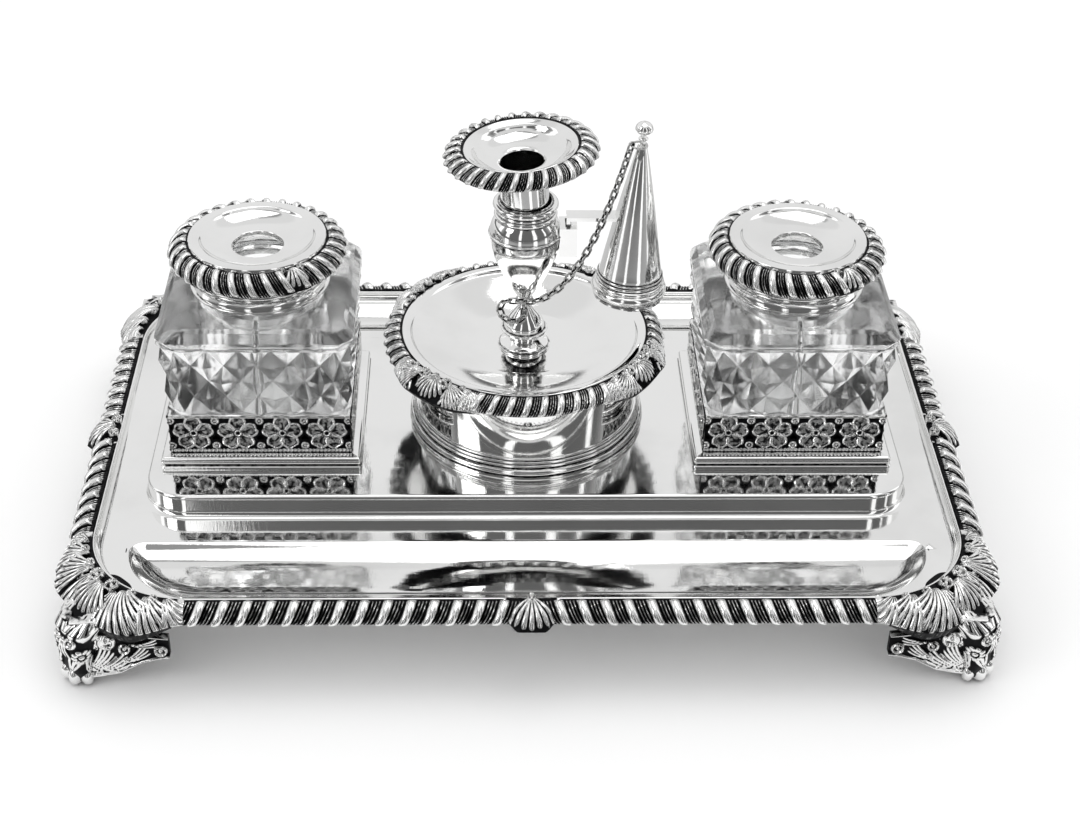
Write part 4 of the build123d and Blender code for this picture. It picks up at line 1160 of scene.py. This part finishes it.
def make_stem():
    axis = shift(STICK_X, FITTINGS_Y)
    z = PAN_FLOOR
    stem = turned([(0.01, z), (8.2, z), (8.3, z + 0.35), (8.2, z + 0.7), (7.6, z + 0.9)]
                  + flow([(7.5, z + 1.2), (6.3, z + 2.0), (4.9, z + 3.2), (4.5, z + 4.2)], 4)
                  + bend(5.2, z + 5.0, 0.55, -80, 80, 7) + bend(6.9, z + 6.1, 0.5, -70, 90, 6)
                  + flow([(6.4, z + 6.7), (6.1, z + 8.4), (5.0, z + 10.4), (3.4, z + 12.4),
                          (2.0, z + 14.2), (1.4, z + 15.4), (1.25, z + NECK_RISE)], 4)
                  + [(0.01, z + NECK_RISE)], 64)
    cavity(stem, 1.4)
    smooth(stem, 40)
    dress(placed(stem, axis), "stem_knop", "taper_stick", "plain_silver", "stem")
    z = PAN_FLOOR + NECK_RISE
    urn = turned([(0.01, z), (1.25, z)]
                 + flow([(1.35, z + 0.5), (2.3, z + 1.5), (3.3, z + 3.0), (4.9, z + 5.6), (7.2, z + 10.6),
                         (9.3, z + 15.6), (10.6, z + 20.4), (11.0, z + 24.0)], 5)
                 + bend(11.0, z + 24.4, 0.32, -70, 80, 5)
                 + flow([(10.9, z + 24.9), (10.6, z + 26.6), (9.9, z + 28.4), (8.9, z + 29.9)], 4)
                 + bend(8.9, z + 30.7, 0.75, -80, 80, 8) + bend(8.6, z + 32.0, 0.5, -80, 60, 5)
                 + [(8.6, z + 32.6)] + bend(9.0, z + 34.0, 1.0, -80, 130, 12)
                 + [(7.85, z + 35.2), (7.85, z + 27.1), (0.01, z + 27.1)], 112)
    cavity(urn, 1.6)
    smooth(urn, 40)
    dress(placed(urn, axis), "urn_holder", "taper_stick", "plain_silver", "urn")


NOZZLE_PLACE = shift(STICK_X, FITTINGS_Y, 106.6) @ spun(-4.5, "Y")


def make_nozzle():
    tube = turned([(6.6, -3.6), (7.4, -3.6), (7.4, 15.9), (6.6, 15.9)], closed=True)
    smooth(tube, 40)
    dish = turned([(6.6, 15.9)]
                  + flow([(6.6, 16.6), (7.6, 17.3), (10.6, 17.8), (13.0, 18.9), (14.4, 20.3)], 4)
                  + [(14.8, 21.0), (15.2, 21.25), (15.9, 21.35), (16.4, 21.75), (17.0, 21.9),
                     (17.4, 21.6), (17.2, 20.6), (15.2, 18.6), (12.0, 16.8), (8.4, 15.9)], closed=True)
    cavity(dish, 2.5)
    smooth(dish, 40)
    ring = ring_border(17.0, 22.7, 18.2, 3.9, 30, 0.5, 0.72)
    dress(placed(tube, NOZZLE_PLACE), "nozzle_sleeve", "nozzle", "plain_silver", "nozzle_tube")
    dress(placed(dish, NOZZLE_PLACE), "nozzle_pan", "nozzle", "plain_silver", "nozzle_dish")
    dress(placed(ring, NOZZLE_PLACE), "nozzle_gadroon", "nozzle", "cast_silver", "nozzle_border")


# ------------------------------------------------------------------ extinguisher and chain
CONE_PLACE = shift(31.0, FITTINGS_Y, 77.0) @ spun(2.6, "Y")
LINKS = 35
LINK_BEND = 0.95                        # radius of a link's ends, to the middle of its wire


def make_extinguisher():
    cone = turned([(8.9, 0.2), (9.7, 0.2), (9.7, 9.0)]
                  + flow([(9.55, 9.6), (7.6, 20.0), (5.2, 33.0), (2.6, 46.0), (1.5, 50.6)], 5)
                  + bend(1.3, 51.0, 0.35, -60, 90, 5) + [(0.9, 51.0), (0.01, 48.0)], 96)
    smooth(cone, 40)
    foot = turned([(9.6, 0.0), (10.6, 0.0), (10.9, 0.4), (10.5, 1.2)] + bend(9.9, 3.0, 1.75, -70, 75, 10)
                  + bend(10.1, 5.3, 0.75, -75, 80, 7) + bend(9.85, 6.75, 0.55, -75, 80, 6)
                  + bend(9.7, 7.95, 0.5, -75, 80, 6) + [(9.75, 8.7), (9.6, 9.0)], closed=True)
    cavity(foot, 1.2)
    smooth(foot, 40)
    finial = turned([(0.01, 50.8), (0.85, 50.8), (0.8, 53.2)] + bend(1.1, 53.7, 0.4, -80, 80, 5)
                    + [(0.9, 54.3), (0.9, 55.0), (1.6, 55.5), (2.5, 56.2), (2.75, 57.0), (2.5, 57.9),
                       (1.7, 58.7), (0.8, 59.1), (0.01, 59.2)], 40)
    cavity(finial, 1.6)
    smooth(finial, 50)
    dress(placed(cone, CONE_PLACE), "snuffer_cone", "extinguisher", "plain_silver", "cone")
    dress(placed(foot, CONE_PLACE), "snuffer_reeds", "extinguisher", "plain_silver", "cone_foot")
    dress(placed(finial, CONE_PLACE), "snuffer_button", "extinguisher", "plain_silver", "cone_finial")


def chain_line():
    """Middle line of the chain, in the order of its links, from the cone to the stem."""
    eye = CONE_PLACE @ Vector((-1.0, 0, 51.45))
    start = eye - Vector((2.3, 0, 0))
    neck = Vector((STICK_X, FITTINGS_Y, PAN_FLOOR + NECK_RISE))
    bight = [(1.2, -5.6, 2.6), (-3.4, -4.6, 2.2), (-6.4, -2.8, 0.6), (-7.6, -3.4, -1.6),
             (-6.4, -5.6, -3.2), (-3.4, -7.0, -3.6), (-0.6, -6.4, -2.6), (0, -2.4, 0.4)]
    front = neck + Vector(bight[0])
    fall = []
    for i in range(12):
        share = 1 - i / 12
        fall.append(front + Vector(((start.x - front.x) * share, (start.y - front.y) * share ** 4,
                                    (start.z - front.z) * share ** 2)))
    line = np.array([tuple(p) for p in fall] + [tuple(neck + Vector(b)) for b in bight])
    return np.array(flow(line, 24))


def link():
    """Oval link lying flat, long way along X."""
    begin()
    bpy.ops.mesh.primitive_torus_add(major_radius=LINK_BEND, minor_radius=0.35, major_segments=20,
                                     minor_segments=8)
    obj = bpy.context.object
    place = np.array([v.co[:] for v in obj.data.vertices])
    # The inner side of the wire, where the links meet, is painted dark as shade.
    inner = step_up(-(np.hypot(place[:, 0], place[:, 1]) - LINK_BEND), -0.05, 0.3)
    place[:, 0] += np.sign(place[:, 0]) * 0.75 * (np.abs(place[:, 0]) > 0.01)
    obj.data.vertices.foreach_set("co", place.ravel())
    set_recess(obj, inner)
    return obj


def make_chain():
    line = chain_line()
    length = np.concatenate([[0], np.cumsum(np.linalg.norm(np.diff(line, axis=0), axis=1))])
    one = link()
    links = []
    for i in range(LINKS):
        at = 0.75 + (length[-1] - 1.6) * i / (LINKS - 1)
        here = Vector([np.interp(at, length, line[:, k]) for k in range(3)])
        ahead = Vector([np.interp(min(at + 1.2, length[-1]), length, line[:, k]) for k in range(3)])
        behind = Vector([np.interp(max(at - 1.2, 0), length, line[:, k]) for k in range(3)])
        along = (ahead - behind).normalized()
        across = along.cross(Vector((0, 0, 1))).normalized()
        flat = across if i % 2 == 0 else along.cross(across)
        side = flat.cross(along)
        turn = Matrix((along, side, flat)).transposed().to_4x4()
        links.append(twin(one, Matrix.Translation(here) @ turn))
    bpy.data.objects.remove(one)
    chain = joined(*links)
    smooth(chain, 60)
    dress(chain, "snuffer_chain", None, "chain_silver", "chain")
    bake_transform(chain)


# ------------------------------------------------------------------ studio
WORLD_LEVEL = 0.86                      # level of the soft light from all round
DOME_RADIUS = 4.0                       # metres, as all sizes of the studio
APRON_RADIUS = 0.19                     # inner edge of the sheet on the floor
APRON_HEIGHT = 0.0008
# Glow of the painted reflections: dark in front, pale behind, brighter in the gaps.
SHEET_FRONT, SHEET_BACK, GAP = 0.13, 0.82, 1.25
GAPS = ((-2.9, -2.76), (2.52, 2.72), (-2.2, -1.98), (-1.62, -1.4), (1.3, 1.62), (1.95, 2.05))


def make_studio():
    """Pale floor, soft lamps and the glowing sheets that polished silver reflects: painted reflections,
    not lamps.
    """
    world = bpy.data.worlds.new("studio")
    bpy.context.scene.world = world
    world.use_nodes = True
    tree = world.node_tree
    rays = tree.nodes.new("ShaderNodeLightPath").outputs
    straight = maths(tree, "MAXIMUM", rays["Is Camera Ray"], rays["Is Glossy Ray"])
    straight = maths(tree, "MAXIMUM", straight, rays["Is Transmission Ray"])
    tree.links.new(blended(tree, straight, WORLD_LEVEL, 1.0), tree.nodes["Background"].inputs["Color"])
    begin()
    bpy.ops.mesh.primitive_plane_add(size=12)
    floor = bpy.context.object
    floor.name = "floor"
    paper, tree, shader = new_material("paper")
    grain = noise(tree, object_place(tree), 3.0)
    tree.links.new(blended(tree, grain, 0.97, 0.985), shader.inputs["Base Color"])
    shader.inputs["Roughness"].default_value = 0.9
    shader.inputs["Specular IOR Level"].default_value = 0.0
    floor.data.materials.append(paper)
    make_sheets()
    for name, place, size, power in (("top_lamp", (0.1, 0.1, 1.6), 1.2, 6.0),
                                     ("left_lamp", (-1.3, -0.7, 1.1), 0.7, 3.0)):
        lamp = bpy.data.lights.new(name, "AREA")
        lamp.size = size
        lamp.energy = power
        obj = bpy.data.objects.new(name, lamp)
        obj.location = place
        obj.rotation_euler = Vector(place).to_track_quat("Z", "Y").to_euler()
        bpy.context.scene.collection.objects.link(obj)


def band(tree, value, low, high, soft):
    """1 between two values, with soft edges."""
    rise = ranged(tree, value, low - soft, low + soft)
    fall = ranged(tree, value, high - soft, high + soft, 1.0, 0.0)
    return maths(tree, "MULTIPLY", rise, fall)


def sheet_material(name, heights):
    """Glow of the sheets, which are painted reflections, by bearing, with gaps between them, and by
    height.

    heights holds (low, high, softness, level) of each band that lies over the rest.
    """
    material, tree, shader = new_material(name)
    tree.nodes.remove(shader)
    split = tree.nodes.new("ShaderNodeSeparateXYZ")
    tree.links.new(object_place(tree), split.inputs["Vector"])
    x, y, z = split.outputs
    bearing = maths(tree, "ARCTAN2", x, y)
    colour = blended(tree, ranged(tree, y, -1.2, 1.0), SHEET_FRONT, SHEET_BACK)
    for low, high in GAPS:
        colour = blended(tree, band(tree, bearing, low, high, 0.025), colour, GAP)
    for low, high, soft, level in heights:
        colour = blended(tree, band(tree, z, low, high, soft), colour, level)
    glow = tree.nodes.new("ShaderNodeEmission")
    tree.links.new(colour, glow.inputs["Color"])
    tree.links.new(glow.outputs[0], tree.nodes["Material Output"].inputs["Surface"])
    return material


def reflected_only(obj, name, material):
    """A glowing sheet, a painted reflection, that only polished surfaces see: the picture, the glass and
    the soft light don't.
    """
    obj.name = name
    obj.data.materials.append(material)
    obj.visible_camera = False
    obj.visible_diffuse = False
    obj.visible_shadow = False
    obj.visible_transmission = False


def make_sheets():
    """Half dome of glowing sheets, pale behind and above and dark in front, and one on the floor: painted
    reflections.
    """
    begin()
    bpy.ops.mesh.primitive_uv_sphere_add(segments=64, ring_count=32, radius=DOME_RADIUS)
    dome = bpy.context.object
    bpy.ops.object.mode_set(mode="EDIT")
    bpy.ops.mesh.select_all(action="SELECT")
    bpy.ops.mesh.bisect(plane_co=(0, 0, 0.01), plane_no=(0, 0, 1), clear_inner=True)
    bpy.ops.object.mode_set(mode="OBJECT")
    reflected_only(dome, "painted_reflections_above", sheet_material("painted_reflections_above", (
        (-1.0, 0.45, 0.12, 0.12), (3.1, 3.62, 0.12, 0.74), (3.62, 5.0, 0.05, 0.3))))
    begin()
    bpy.ops.mesh.primitive_circle_add(vertices=96, radius=APRON_RADIUS, location=(0, 0, APRON_HEIGHT))
    apron = bpy.context.object
    bpy.ops.object.mode_set(mode="EDIT")
    bpy.ops.mesh.select_all(action="SELECT")
    bpy.ops.mesh.extrude_region_move(TRANSFORM_OT_translate={"value": (0, 0, 0)})
    bpy.ops.transform.resize(value=(20, 20, 1), center_override=(0, 0, APRON_HEIGHT))
    bpy.ops.object.mode_set(mode="OBJECT")
    reflected_only(apron, "painted_reflection_below", sheet_material("painted_reflection_below", ()))


CAMERA_PLACE = (-14.009, -521.807, 402.438)
CAMERA_DOWN, CAMERA_YAW, CAMERA_ROLL = 35.244, -2.017, 1.135
CAMERA_LENS = 66.45


def make_camera():
    """Camera where the photograph was taken from."""
    pitch, yaw, roll = (math.radians(a) for a in (CAMERA_DOWN, CAMERA_YAW, CAMERA_ROLL))
    ahead = Vector((-math.sin(yaw) * math.cos(pitch), math.cos(yaw) * math.cos(pitch), -math.sin(pitch)))
    level = Vector((math.cos(yaw), math.sin(yaw), 0))
    up = level.cross(ahead)
    right = level * math.cos(roll) + up * math.sin(roll)
    above = -level * math.sin(roll) + up * math.cos(roll)
    camera = bpy.data.cameras.new("camera")
    camera.lens = CAMERA_LENS
    camera.sensor_width = 36.0
    camera.clip_end = 50
    obj = bpy.data.objects.new("camera", camera)
    turn = Matrix((right, above, -ahead)).transposed().to_4x4()
    obj.matrix_world = Matrix.Translation(Vector(CAMERA_PLACE) * MM) @ turn
    bpy.context.scene.collection.objects.link(obj)
    bpy.context.scene.camera = obj


# ------------------------------------------------------------------ the whole inkstand
bpy.context.preferences.edit.use_global_undo = False
make_camera()
make_studio()
make_tray()
make_borders()
make_corners()
make_feet()
make_galleries()
make_wells()
make_drum()
make_pan()
make_stem()
make_nozzle()
make_extinguisher()
make_chain()
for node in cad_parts.values():
    finish = node.data.materials[0].name.split(".")[0]
    node.material_slots[0].material = FINISHES[finish]

bpy.context.scene.view_settings.view_transform = "Standard"
